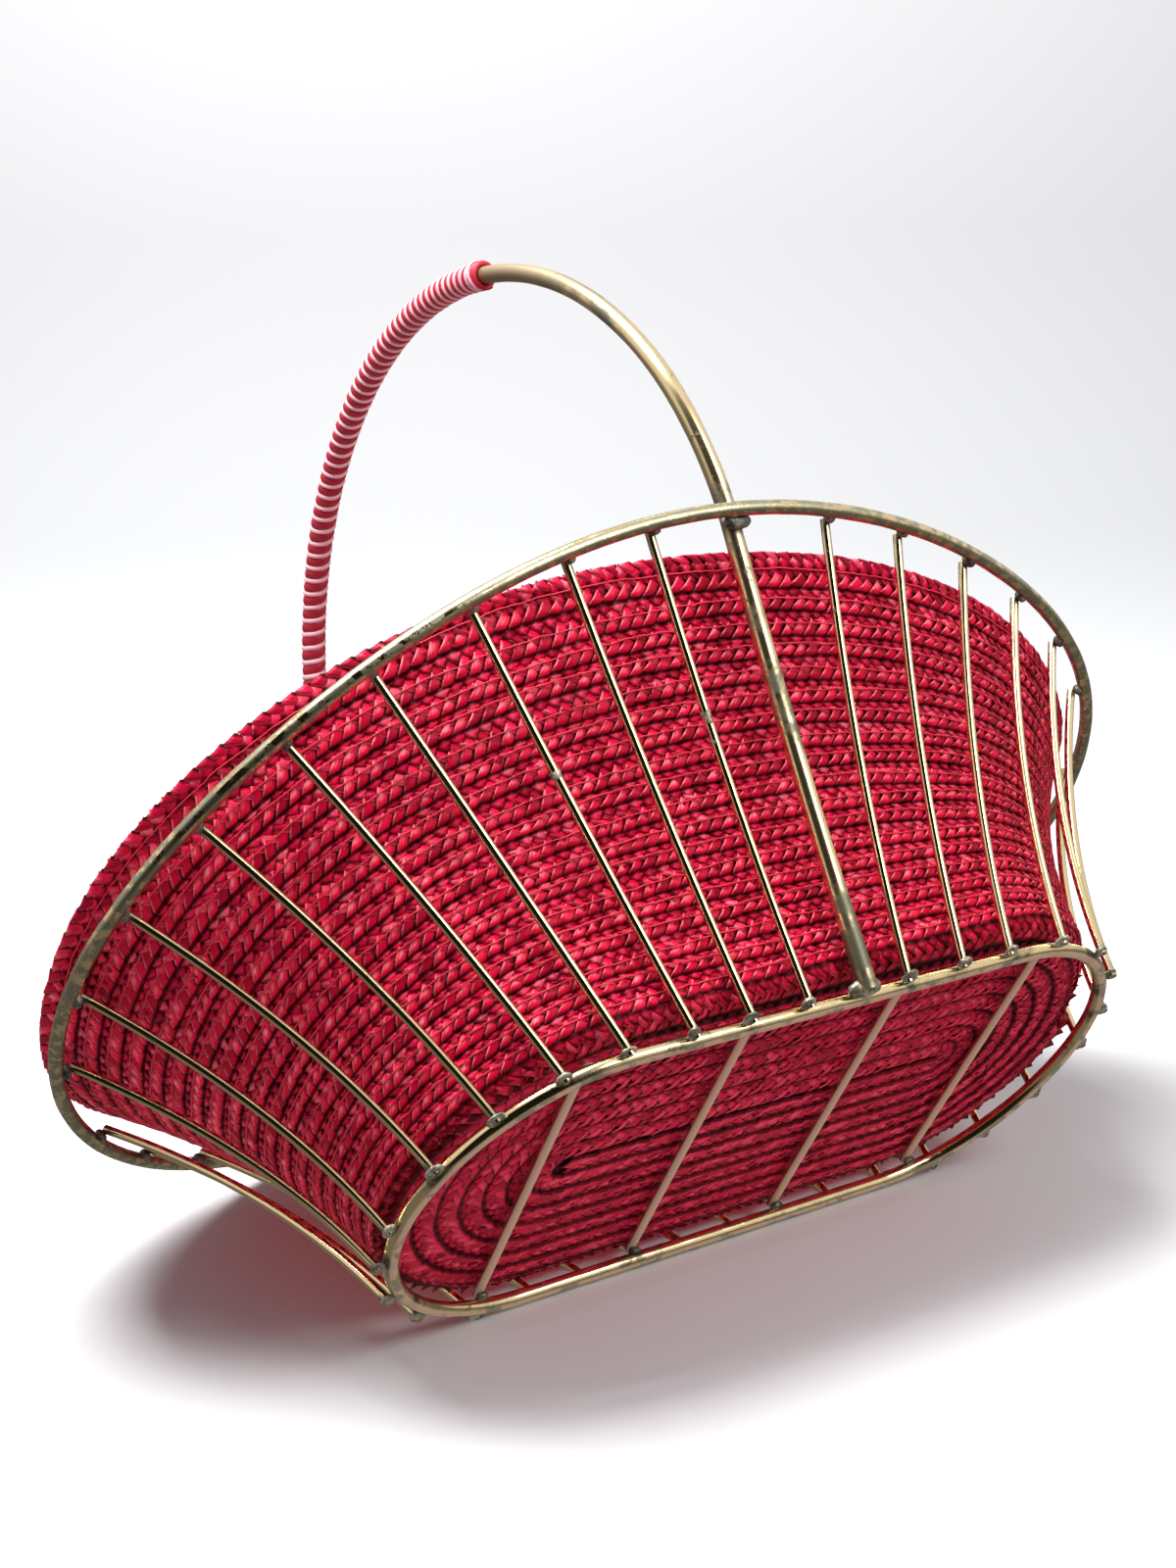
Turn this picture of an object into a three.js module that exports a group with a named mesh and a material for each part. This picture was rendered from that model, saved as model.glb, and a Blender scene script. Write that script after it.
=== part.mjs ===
// A brass-plated wire basket with a loose liner of plaited straw, in millimetres.
// It stands on its base ring. The origin is under the middle of that ring, X runs along the basket and
// Z points up. The carrying handle is one rod that arches over the basket from side to side.
import * as THREE from "three";

// Wire and rod diameters
const RING_WIRE = 4;
const RIM_WIRE = 3.8;
const HANDLE_ROD = 5;
const STAVE_WIRE = 2.4;
const CROSS_WIRE = 2.5;

// Clearance at every soldered seat, and under the loose liner
const SEAT = 0.3;

// Base ring, along its wire's centre line: straight sides and half-round ends
const BASE_LENGTH = 220;
const BASE_WIDTH = 100.6;

// Rim, along its wire's centre line: an ellipse whose ends dip below its long sides
const RIM_LENGTH = 327.4;
const RIM_WIDTH = 241.8;
const RIM_HEIGHT = 102.5;
const RIM_DIP = 24.2;
const RIM_DIP_SWING = 0.63;

// Uprights, each as a share of the way round from one handle leg to the next, as they were set by hand
const UPRIGHT_TOPS = [
  0.009, 0.076, 0.134, 0.194, 0.252, 0.312, 0.37, 0.458,
  0.522, 0.586, 0.65, 0.712, 0.77, 0.834, 0.896, 0.952,
];
const UPRIGHT_FEET = [
  0.018, 0.068, 0.134, 0.192, 0.26, 0.336, 0.396, 0.46,
  0.514, 0.588, 0.652, 0.712, 0.768, 0.834, 0.894, 0.956,
];
// How far an upright's course is pulled in from straight, at the basket's sides and at its ends
const SIDE_BOW = 4;
const END_BOW = 8;
const LEG_BOW = 2;
// Where the cut ends lie: above the surface underneath, and above the rim's centre line
const FOOT_CLEARANCE = 0.6;
const TOP_OVERLAP = 1;

// Cross wires under the liner
const CROSS_WIRES = 4;
const CROSS_PITCH = 48;
const CROSS_END_INSET = 0.4;

// Handle, along the rod's centre line
const HANDLE_BULGE = 18;
const HANDLE_WIDEST_ABOVE_RIM = 48;
const HANDLE_RISE = 123.3;

// Cord wound over the handle from just above the far side of the rim, over the top and down to the
// near shoulder; its section is flat over a share of its width
const WRAP_LOOPS = 24;
const WRAP_THICKNESS = 1.1;
const WRAP_FLAT = 0.66;
const WRAP_GAP = 2.4;
const WRAP_SEAT = 0.55;
const WRAP_ABOVE_RIM = 7;
const WRAP_PAST_TOP = 116;

// Straw liner: its size against the cage, its lapped rows of braid and its wall
const LINER_FLOOR_INSET = 6;
const LINER_SIDE_OVERHANG = 5;
const LINER_CORNER = 4;
const LINER_END_FLARE = 0.4;
const LINER_SIDE_GAP = 11.6;
const LINER_EDGE_ABOVE_RIM = 3;
const LINER_EDGE_DIP = 21;
const LINER_EDGE_TILT = 5;
const LINER_EDGE_SHIFT = -4.6;
const LINER_EDGE_POWER = 2.2;
const LINER_BOW = 3.2;
const LINER_ROWS = 18;
const LINER_LAP = 0.9;
const LINER_WALL = 2.4;

// Facets
const WIRE_SIDES = 8;
const STAVE_SIDES = 6;
const RING_STEPS = 64;
const RIM_STEPS = 72;
const STAVE_STEPS = 8;
const HANDLE_STEPS = 108;
const WRAP_STEPS = 12;
const LINER_STEPS = 48;
const LINER_INNER_RINGS = 5;
const ARC_DIVISIONS = 720;

const brass = new THREE.MeshStandardMaterial({ color: 0xb9a56f, roughness: 0.28, metalness: 1 });
const redCord = new THREE.MeshStandardMaterial({ color: 0xb3243f, roughness: 0.35, metalness: 0 });
const redStraw = new THREE.MeshStandardMaterial({ color: 0x9c1230, roughness: 0.55, metalness: 0 });

const up = new THREE.Vector3(0, 0, 1);
const alongX = new THREE.Vector3(1, 0, 0);

// The corner radius of a polygon that has a round wire's own area
function cornerRadius(diameter, sides) {
  return (diameter / 2) * Math.sqrt((2 * Math.PI) / (sides * Math.sin((2 * Math.PI) / sides)));
}

// A wire's section, with a flat side facing straight down
function wireSection(diameter, sides) {
  const radius = cornerRadius(diameter, sides);
  return Array.from({ length: sides }, (_, k) => {
    const angle = ((k + 0.5) * 2 * Math.PI) / sides - Math.PI / 2;
    return new THREE.Vector2(radius * Math.cos(angle), radius * Math.sin(angle));
  });
}

const ringSection = wireSection(RING_WIRE, WIRE_SIDES);
const RING_CENTRE = -Math.min(...ringSection.map((p) => p.y));
const RIM_CENTRE = RING_CENTRE + RIM_HEIGHT;
const CROSS_CENTRE = RING_CENTRE + RING_WIRE / 2 + SEAT + CROSS_WIRE / 2;
const LINER_UNDERSIDE = CROSS_CENTRE + CROSS_WIRE / 2 + SEAT;

// A level oval with straight sides and half-round ends, from its +X tip and counterclockwise
class Stadium extends THREE.Curve {
  constructor(halfLength, halfWidth, height) {
    super();
    Object.assign(this, { halfWidth, height, straight: halfLength - halfWidth });
    this.arcLengthDivisions = ARC_DIVISIONS;
  }

  getPoint(t) {
    const { halfWidth, height, straight } = this;
    const quarterArc = (Math.PI / 2) * halfWidth;
    const way = (((t % 1) + 1) % 1) * 4 * (quarterArc + straight);
    const arcEnd = quarterArc + 2 * straight;
    if (way < quarterArc) return this.onArc(straight, way / halfWidth);
    if (way < arcEnd) return new THREE.Vector3(straight - (way - quarterArc), halfWidth, height);
    const secondSide = arcEnd + 2 * quarterArc;
    if (way < secondSide) return this.onArc(-straight, Math.PI / 2 + (way - arcEnd) / halfWidth);
    if (way < secondSide + 2 * straight) {
      return new THREE.Vector3(way - secondSide - straight, -halfWidth, height);
    }
    return this.onArc(straight, -Math.PI / 2 + (way - secondSide - 2 * straight) / halfWidth);
  }

  onArc(centre, angle) {
    const { halfWidth, height } = this;
    return new THREE.Vector3(centre + halfWidth * Math.cos(angle), halfWidth * Math.sin(angle), height);
  }
}

// A wider oval of the given power, whose height is a function of how far along the length a point is
class Oval extends THREE.Curve {
  constructor(halfLength, halfWidth, power, shift, heightAt) {
    super();
    Object.assign(this, { halfLength, halfWidth, power, shift, heightAt });
    this.arcLengthDivisions = ARC_DIVISIONS;
  }

  getPoint(t) {
    const angle = 2 * Math.PI * t;
    const bend = (v) => Math.sign(v) * Math.abs(v) ** (2 / this.power);
    const along = bend(Math.cos(angle));
    return new THREE.Vector3(
      this.halfLength * along + this.shift,
      this.halfWidth * bend(Math.sin(angle)),
      this.heightAt(along),
    );
  }
}

// How far a saddle lies below its highest level, for a place along the length from -1 to 1
const saddle = (dip, along) => dip * ((1 + RIM_DIP_SWING) * along ** 2 - RIM_DIP_SWING * along ** 4);

const baseLine = new Stadium(BASE_LENGTH / 2, BASE_WIDTH / 2, RING_CENTRE);
const rimLine = new Oval(RIM_LENGTH / 2, RIM_WIDTH / 2, 2, 0, (along) => RIM_CENTRE - saddle(RIM_DIP, along));

// The level direction that points out of a closed line at a share of the way round it
function outwards(line, share) {
  const t = line.getTangentAt(((share % 1) + 1) % 1);
  return new THREE.Vector3(t.y, -t.x, 0).normalize();
}

// Joins rings of points into one closed skin. Each ring runs counterclockwise about the way of travel.
function loft(rings, closed = false) {
  const count = rings[0].length;
  const index = [];
  const spans = closed ? rings.length : rings.length - 1;
  for (let i = 0; i < spans; i++) {
    const here = i * count;
    const there = ((i + 1) % rings.length) * count;
    for (let j = 0; j < count; j++) {
      const next = (j + 1) % count;
      index.push(here + j, here + next, there + next, here + j, there + next, there + j);
    }
  }
  const last = (rings.length - 1) * count;
  for (let j = 1; !closed && j < count - 1; j++) {
    index.push(0, j + 1, j, last, last + j, last + j + 1);
  }
  const geometry = new THREE.BufferGeometry().setFromPoints(rings.flat());
  geometry.setIndex(index);
  geometry.computeVertexNormals();
  return geometry;
}

// A section set square to a line at one of its points; upright is the way that the section's y points
function place(section, point, tangent, upright) {
  const side = new THREE.Vector3().crossVectors(upright, tangent).normalize();
  const rise = new THREE.Vector3().crossVectors(tangent, side);
  return section.map((p) => point.clone().addScaledVector(side, p.x).addScaledVector(rise, p.y));
}

// The rings of a wire along a line, with none at the end of a closed line, where the first one is
function wireRings(line, steps, section, upright, closed = false) {
  return Array.from({ length: closed ? steps : steps + 1 }, (_, i) =>
    place(section, line.getPointAt(i / steps), line.getTangentAt(i / steps), upright),
  );
}

const basket = new THREE.Group();
basket.name = "metal_basket";

function addPiece(parent, name, geometry, material) {
  const mesh = new THREE.Mesh(geometry, material);
  mesh.name = name;
  parent.add(mesh);
}

const cage = new THREE.Group();
cage.name = "wire_cage";
basket.add(cage);

const baseRings = wireRings(baseLine, RING_STEPS, ringSection, up, true);
const rimRings = wireRings(rimLine, RIM_STEPS, wireSection(RIM_WIRE, WIRE_SIDES), up, true);
addPiece(cage, "base_ring", loft(baseRings, true), brass);
addPiece(cage, "rim_ring", loft(rimRings, true), brass);

// The inward pull of a course at a place along the basket
const bowAt = (x) => SIDE_BOW + (END_BOW - SIDE_BOW) * Math.min(1, (2 * x) / RIM_LENGTH) ** 2;

// A course from low to high, pulled in level from its straight chord
function bowedCourse(low, high, pull) {
  const inwards = new THREE.Vector3(low.x - high.x, low.y - high.y, 0).normalize();
  const third = new THREE.Vector3().lerpVectors(low, high, 1 / 3).addScaledVector(inwards, pull);
  const twoThirds = new THREE.Vector3().lerpVectors(low, high, 2 / 3).addScaledVector(inwards, pull);
  return new THREE.CubicBezierCurve3(low, third, twoThirds, high);
}

// How much of its thickness a slanting wire shows to a ring that it passes
const facing = (way, normal) => Math.sqrt(1 - way.dot(normal) ** 2);

// An upright's course from where it passes the base ring, outside, to where it passes the rim, inside.
// A slanting wire lies nearer to a ring than a level measure says, so both places are set from the slant.
const COURSE_PASSES = 4;
function uprightCourse(footShare, topShare, radius, pull) {
  const footOut = outwards(baseLine, footShare);
  const topOut = outwards(rimLine, topShare);
  const footSeat = cornerRadius(RING_WIRE, WIRE_SIDES) + radius + SEAT;
  const topSeat = cornerRadius(RIM_WIRE, WIRE_SIDES) + radius + SEAT;
  let course;
  for (let pass = 0; pass < COURSE_PASSES; pass++) {
    const footFacing = course ? facing(course.getTangent(0), footOut) : 1;
    const topFacing = course ? facing(course.getTangent(1), topOut) : 1;
    const foot = baseLine.getPointAt(footShare % 1).addScaledVector(footOut, footSeat / footFacing);
    const top = rimLine.getPointAt(topShare % 1).addScaledVector(topOut, -topSeat / topFacing);
    course = bowedCourse(foot, top, pull);
  }
  return course;
}

// A ring of points carried on along a straight way until all of them reach one level
const carriedTo = (level, ring, way) => ring.map((p) => p.clone().addScaledVector(way, (level - p.z) / way.z));

// The near handle leg is at three quarters of the way round, and the far one half a turn on
const NEAR_LEG = 0.75;
const HALF_TURN = 0.5;
const staveSection = wireSection(STAVE_WIRE, STAVE_SIDES);
const staveRadius = cornerRadius(STAVE_WIRE, STAVE_SIDES);
let staveCount = 0;
for (const start of [NEAR_LEG, NEAR_LEG + HALF_TURN]) {
  for (let k = 1; k < UPRIGHT_TOPS.length; k++) {
    const topShare = start + UPRIGHT_TOPS[k] * HALF_TURN;
    const bow = bowAt(Math.abs(rimLine.getPointAt(topShare % 1).x));
    const course = uprightCourse(start + UPRIGHT_FEET[k] * HALF_TURN, topShare, staveRadius, bow);
    const edgewise = new THREE.Vector3().crossVectors(up, outwards(rimLine, topShare));
    staveCount += 1;
    const name = "stave_" + String(staveCount).padStart(2, "0");
    const rings = wireRings(course, STAVE_STEPS, staveSection, edgewise);
    rings.unshift(carriedTo(FOOT_CLEARANCE, rings[0], course.getTangent(0)));
    rings.push(carriedTo(course.v3.z + TOP_OVERLAP, rings.at(-1), course.getTangent(1)));
    addPiece(cage, name, loft(rings), brass);
  }
}

// Cross wires lie on the base ring and are cut off level with its outer side
const crossSection = wireSection(CROSS_WIRE, STAVE_SIDES);
for (let k = 0; k < CROSS_WIRES; k++) {
  const x = (k - (CROSS_WIRES - 1) / 2) * CROSS_PITCH;
  const pastStraight = Math.max(0, Math.abs(x) - baseLine.straight);
  const reach = Math.sqrt(baseLine.halfWidth ** 2 - pastStraight ** 2) + RING_WIRE / 2 - CROSS_END_INSET;
  const line = new THREE.LineCurve3(
    new THREE.Vector3(x, -reach, CROSS_CENTRE),
    new THREE.Vector3(x, reach, CROSS_CENTRE),
  );
  addPiece(cage, "cross_wire_" + (k + 1), loft(wireRings(line, 1, crossSection, up)), brass);
}

// One side of the handle: from its foot up past the inside of the rim, out to the widest point and
// over to the top. A quarter of an ellipse is a cubic curve whose handles are this share of its radii.
const QUARTER = 0.5523;
const farLegFoot = NEAR_LEG + HALF_TURN * (1 + UPRIGHT_FEET[0]);
const farLegTop = NEAR_LEG + HALF_TURN * (1 + UPRIGHT_TOPS[0]);
const rodRadius = cornerRadius(HANDLE_ROD, WIRE_SIDES);
const leg = uprightCourse(farLegFoot, farLegTop, rodRadius, LEG_BOW);
const crossing = leg.v3;
const widest = new THREE.Vector3(0, crossing.y + HANDLE_BULGE, RIM_CENTRE + HANDLE_WIDEST_ABOVE_RIM);
const apex = new THREE.Vector3(0, 0, widest.z + HANDLE_RISE);
const legEnd = new THREE.Vector3().subVectors(crossing, leg.v2).normalize();
const shoulder = crossing.distanceTo(widest) / 3;
const handleSide = [
  leg,
  new THREE.CubicBezierCurve3(
    crossing,
    crossing.clone().addScaledVector(legEnd, shoulder),
    widest.clone().addScaledVector(up, -shoulder),
    widest,
  ),
  new THREE.CubicBezierCurve3(
    widest,
    widest.clone().addScaledVector(up, QUARTER * HANDLE_RISE),
    new THREE.Vector3(0, QUARTER * widest.y, apex.z),
    apex,
  ),
];

// The same curve turned half round the Z axis and run the other way
function turnedBack(curve) {
  const half = (p) => new THREE.Vector3(-p.x, -p.y, p.z);
  return new THREE.CubicBezierCurve3(half(curve.v3), half(curve.v2), half(curve.v1), half(curve.v0));
}

const handleLine = new THREE.CurvePath();
handleLine.curves = [...handleSide, ...handleSide.map(turnedBack).reverse()];
handleLine.arcLengthDivisions = ARC_DIVISIONS;
const handleRings = wireRings(handleLine, HANDLE_STEPS, wireSection(HANDLE_ROD, WIRE_SIDES), alongX);
handleRings.unshift(carriedTo(FOOT_CLEARANCE, handleRings[0], handleLine.getTangent(0)));
handleRings.push(carriedTo(FOOT_CLEARANCE, handleRings.at(-1), handleLine.getTangent(1)));
addPiece(cage, "handle", loft(handleRings), brass);

// Cord wound round the handle, from just above the far side of the rim to the near shoulder of the arch
const handleLength = handleLine.getLength();
const wrapStart = (leg.getLength() + WRAP_ABOVE_RIM) / handleLength;
const wrapEnd = 0.5 + WRAP_PAST_TOP / handleLength;
const wrapPitch = ((wrapEnd - wrapStart) * handleLength) / WRAP_LOOPS;
const wrapWidth = wrapPitch - WRAP_GAP;
const wrapRadius = (rodRadius + WRAP_SEAT + WRAP_THICKNESS / 2) / Math.cos(Math.PI / WRAP_STEPS);
const wrapEdge = wrapWidth / 2;
const wrapFlat = WRAP_FLAT * wrapEdge;
const wrapFace = WRAP_THICKNESS / 2;
const wrapSection = [
  [-wrapEdge, 0], [-wrapFlat, -wrapFace], [wrapFlat, -wrapFace],
  [wrapEdge, 0], [wrapFlat, wrapFace], [-wrapFlat, wrapFace],
].map(([w, h]) => new THREE.Vector2(w, h));

function windingRings() {
  const rings = [];
  for (let i = 0; i <= WRAP_LOOPS * WRAP_STEPS; i++) {
    const turn = i / WRAP_STEPS;
    const way = wrapStart + (turn / WRAP_LOOPS) * (wrapEnd - wrapStart);
    const along = handleLine.getTangentAt(way);
    const outer = new THREE.Vector3().crossVectors(alongX, along).normalize();
    const radial = new THREE.Vector3()
      .addScaledVector(outer, Math.cos(2 * Math.PI * turn))
      .addScaledVector(alongX, Math.sin(2 * Math.PI * turn));
    const round = new THREE.Vector3().crossVectors(along, radial);
    const centre = handleLine.getPointAt(way).addScaledVector(radial, wrapRadius);
    rings.push(place(wrapSection, centre, round, radial));
  }
  return rings;
}

// The least distance between points of the winding that are most of a loop or more apart along it
function leastGap(rings) {
  let least = Infinity;
  rings.forEach((ring, i) => {
    for (const other of rings.slice(i + Math.ceil(0.75 * WRAP_STEPS), i + Math.ceil(1.25 * WRAP_STEPS) + 1)) {
      for (const p of ring) for (const q of other) least = Math.min(least, p.distanceTo(q));
    }
  });
  return least;
}

const winding = windingRings();
console.log("handle_wrap: least gap between loops " + leastGap(winding).toFixed(2) + " mm");
addPiece(cage, "handle_wrap", loft(winding), redCord);

// Straw liner: a floor inside the base ring, a wall of lapped rows and a dipping edge
const liner = new THREE.Group();
liner.name = "liner";
basket.add(liner);

const LINER_FOOT_HEIGHT = LINER_UNDERSIDE + LINER_CORNER;
const linerOval = (grow, height) =>
  new Stadium(BASE_LENGTH / 2 + grow, BASE_WIDTH / 2 + LINER_SIDE_OVERHANG + grow, height);
const linerFoot = linerOval(0, LINER_FOOT_HEIGHT);
const CAGE_RIM = RIM_WIRE / 2 + STAVE_WIRE;
const linerEdge = new Oval(
  RIM_LENGTH / 2 - CAGE_RIM + LINER_END_FLARE,
  RIM_WIDTH / 2 - CAGE_RIM - LINER_SIDE_GAP,
  LINER_EDGE_POWER,
  LINER_EDGE_SHIFT,
  (along) => RIM_CENTRE + LINER_EDGE_ABOVE_RIM - LINER_EDGE_DIP * along ** 2 - LINER_EDGE_TILT * along,
);

// One ring of the wall at a height from 0 at its foot to 1 at its edge, moved out level by an offset
const wallCourses = Array.from({ length: LINER_STEPS }, (_, j) => {
  const low = linerFoot.getPointAt(j / LINER_STEPS);
  const high = linerEdge.getPointAt(j / LINER_STEPS);
  return bowedCourse(low, high, bowAt(Math.abs(high.x)) + LINER_BOW);
});
function wallRing(height, offset) {
  return wallCourses.map((course, j) => {
    const outer = outwards(linerEdge, j / LINER_STEPS);
    return course.getPoint(height).addScaledVector(outer, offset);
  });
}

const floorRing = (grow, height) => linerOval(grow, height).getSpacedPoints(LINER_STEPS).slice(0, LINER_STEPS);

function linerRings() {
  const rings = [floorRing(-LINER_FLOOR_INSET, LINER_UNDERSIDE)];
  rings.push(floorRing(-LINER_FLOOR_INSET / 3, LINER_UNDERSIDE + LINER_CORNER / 4));
  for (let row = 0; row < LINER_ROWS; row++) {
    rings.push(wallRing(row / LINER_ROWS, 0));
    rings.push(wallRing(row / LINER_ROWS, LINER_LAP));
  }
  rings.push(wallRing(1, 0));
  for (let k = 0; k < LINER_INNER_RINGS; k++) rings.push(wallRing(1 - k / LINER_INNER_RINGS, -LINER_WALL));
  rings.push(wallRing(0, -LINER_WALL));
  rings.push(floorRing(-LINER_FLOOR_INSET - LINER_WALL, LINER_UNDERSIDE + LINER_WALL));
  return rings;
}
addPiece(liner, "straw_liner", loft(linerRings()), redStraw);

export default basket;
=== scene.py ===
# A wire basket with a loose liner of plaited straw, dressed over its CAD frame.
# Shapes are in millimetres, and metres() turns them into Blender's metres. Node trees and lamps use metres.
import math

import bmesh
import bpy
import numpy as np
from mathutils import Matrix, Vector


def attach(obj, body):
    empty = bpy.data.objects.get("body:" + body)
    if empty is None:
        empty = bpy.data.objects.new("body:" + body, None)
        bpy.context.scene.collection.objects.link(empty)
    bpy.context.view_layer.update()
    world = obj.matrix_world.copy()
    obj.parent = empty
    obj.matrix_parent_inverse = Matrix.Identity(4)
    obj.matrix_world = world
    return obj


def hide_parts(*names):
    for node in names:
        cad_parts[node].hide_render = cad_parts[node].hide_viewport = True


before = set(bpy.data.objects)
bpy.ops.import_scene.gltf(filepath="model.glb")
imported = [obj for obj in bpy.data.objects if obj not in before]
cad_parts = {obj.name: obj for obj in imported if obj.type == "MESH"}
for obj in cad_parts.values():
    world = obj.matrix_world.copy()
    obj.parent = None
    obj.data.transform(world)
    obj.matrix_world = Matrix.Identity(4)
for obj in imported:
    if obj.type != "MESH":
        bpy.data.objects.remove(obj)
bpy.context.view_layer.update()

# Wire and rod diameters
RING_WIRE = 4.0
RIM_WIRE = 3.8
HANDLE_ROD = 5.0
STAVE_WIRE = 2.4
CROSS_WIRE = 2.5
SEAT = 0.3
WIRE_SIDES = 8
STAVE_SIDES = 6

# Base ring and rim, along their wires' centre lines
BASE_LENGTH = 220.0
BASE_WIDTH = 100.6
RIM_LENGTH = 327.4
RIM_WIDTH = 241.8
RIM_HEIGHT = 102.5
RIM_DIP = 24.2
RIM_DIP_SWING = 0.63

# Uprights, each as a share of the way round from one handle leg to the next
UPRIGHT_TOPS = [
    0.009, 0.076, 0.134, 0.194, 0.252, 0.312, 0.37, 0.458,
    0.522, 0.586, 0.65, 0.712, 0.77, 0.834, 0.896, 0.952,
]
UPRIGHT_FEET = [
    0.018, 0.068, 0.134, 0.192, 0.26, 0.336, 0.396, 0.46,
    0.514, 0.588, 0.652, 0.712, 0.768, 0.834, 0.894, 0.956,
]
SIDE_BOW = 4.0
END_BOW = 8.0
LEG_BOW = 2.0
FOOT_CLEARANCE = 0.6
TOP_OVERLAP = 1.0
COURSE_PASSES = 4
NEAR_LEG = 0.75
HALF_TURN = 0.5

# Cross wires under the liner, whose near ends are pressed down behind the ring
CROSS_WIRES = 4
CROSS_PITCH = 48.0
CROSS_END_INSET = 0.4
CROSS_CUT = 1.4
CROSS_STEPS = 60
CROSS_PRESSED = 6.0
CROSS_DROP = 2.7

# Solder lumps: their half sizes along the joint, across it and outwards. A repair has the number of its
# upright, its height on it and its size
FOOT_LUMP = (2.5, 2.0, 0.95)
TOP_LUMP = (1.9, 1.7, 1.4)
CROSS_LUMP = (1.9, 1.4, 1.2)
LEG_FOOT_LUMP = (5.0, 2.4, 2.6)
LEG_TOP_LUMP = (4.4, 2.6, 2.0)
REPAIRS = ((27, 0.63, (2.2, 1.40, 1.4)), (29, 0.63, (5.0, 1.26, 1.26)), (29, 0.57, (2.4, 1.3, 1.26)))
SOLDER_PLAY = 0.0009
SOLDER_GRAIN = 420.0
LUMP_PLAY = (0.85, 1.2)
CROSS_PLAY = (0.85, 1.15)

# Where the lumps sit from their joints: inwards, outwards, down, or above the table
FOOT_LUMP_IN = 0.45
FOOT_LUMP_HEIGHT = 1.6
TOP_LUMP_IN = 0.1
CROSS_LUMP_IN = 3.2
CROSS_LUMP_DOWN = 1.9
LEG_FOOT_IN = 1.6
LEG_TOP_OUT = 2.4
LEG_TOP_DOWN = 0.6

# How far solder dulls each kind of wire, in millimetres, and how uneven the wire is, in metres
RING_LOOK = (6.0, 0.00025)
RIM_LOOK = (5.0, 0.00028)
STAVE_LOOK = (4.0, 0.00003)
CROSS_LOOK = (7.0, 0.00003)
ROD_LOOK = (9.0, 0.00012)

# Handle, along its rod's centre line
HANDLE_BULGE = 18.0
HANDLE_WIDEST_ABOVE_RIM = 48.0
HANDLE_RISE = 123.3
QUARTER = 0.5523

# Cords wound over the handle, from just above the far side of the rim to the near shoulder
WRAP_ABOVE_RIM = 7.0
WRAP_PAST_TOP = 116.0
WRAP_FAR_PITCH = 5.1
WRAP_END_PITCH = 3.2
WRAP_CLOSING = 80.0
BARE_MATT = 28.0
BARE_FADE = 36.0
CORD_PLAY = 0.10
CORD_DRIFT = 0.30
CORD_PER_TURN = 0.025
WRAP_STEPS = 18
WRAP_SIDES = 9

# Straw liner
LINER_FLOOR_INSET = 6.0
LINER_SIDE_OVERHANG = 5.0
LINER_CORNER = 4.0
LINER_END_FLARE = 0.4
LINER_SIDE_GAP = 11.6
LINER_EDGE_ABOVE_RIM = 3.0
LINER_EDGE_DIP = 21.0
LINER_EDGE_TILT = 5.0
LINER_EDGE_SHIFT = -4.6
LINER_EDGE_POWER = 2.2
LINER_BOW = 3.2
LINER_WALL = 2.4

# The plait: full rows under a top row that isn't lapped, and the straws in each
PLAIT_ROWS = 17
ALL_ROWS = PLAIT_ROWS + 1.6
STRAW_PITCH = 3.4
INNER_PITCH = 4.4
EDGE_PITCH = 4.1
LAID_PITCH = 3.85
ROW_WAVER = 0.07
BRAID_PITCH = 6.4
TURN_PLAY = 0.10
TILT_PLAY = 0.10

# The straws lie both ways across a row. Over one pitch, those that lean right pass LEFT_WIDE of the others
RIGHT_WAY = (0.616, 0.788)
LEFT_WAY = (-0.766, 0.643)
LEFT_WIDE = 2.19
RIGHT_WIDE = 2.68
LEFT_LONGER = 0.9
TUCK = 0.7

# A scale of a row's lower edge: its width and length, and the height over which its foot rolls under
SCALE_WIDE = 3.8
SCALE_START = 0.2
SCALE_LONG = 5.38
SCALE_DROP = 0.3
SCALE_ROLL = 1.2

# The folded straws of the edge: their foot's left and right side, and how far they rise
LEAF_LEFT = 3.4
LEAF_RIGHT = 5.3
LEAF_FOOT = 2.8
LEAF_RISE = 2.7

# The columns of a row: their middles, over the row's height, and their shifts along it in pitches
SCALE_COLUMN = (0.234, 0.91)
LEFT_COLUMN = (0.615, 1.475)
RIGHT_COLUMN = (0.885, 0.871)
INNER_LOW = (0.25, 0.0)
INNER_HIGH = (0.75, 0.5)
INNER_TALL = 1.85

# The sewing thread: its height in its row and in the top row, how proud of the wall it runs and how much
# that and its height play. Its radius and unevenness are in metres
THREAD_HEIGHT = 0.47
TOP_THREAD_HEIGHT = 0.72
THREAD_PROUD = 0.60
THREAD_PLAY = 0.12
THREAD_WAVER = 0.0016
THREAD_RADIUS = 0.00024
THREAD_UNEVEN = 0.0001

# The corner row: its slant at its foot, how much that grows, how deep it sits and how tall it is, and the
# outward tilt of the straws under the floor
CORNER_SLANT = 20
CORNER_TURN = 50
CORNER_SUNK = 0.55
CORNER_TALL = 7.0
FLOOR_TILT = 0.14

# The sheet under the straws
SHEET_INSET = 0.55
SHEET_INNER_INSET = 0.78
SHEET_STEPS = 288
SHEET_RINGS = 60

# Finer counts for the dressed wires
RING_STEPS = 520
STAVE_STEPS = 56
HANDLE_STEPS = 420
THREAD_STEPS = 960
SPIRAL_STEPS = 4200
RING_SIDES = 20
ROD_SIDES = 24
THIN_SIDES = 16
ARC_POINTS = 721

UP = np.array([0.0, 0.0, 1.0])
ALONG_X = np.array([1.0, 0.0, 0.0])
HALF_TURNED = np.array([-1, -1, 1])


def unit(v):
    v = np.asarray(v, float)
    return v / np.linalg.norm(v, axis=-1, keepdims=True)


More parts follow.
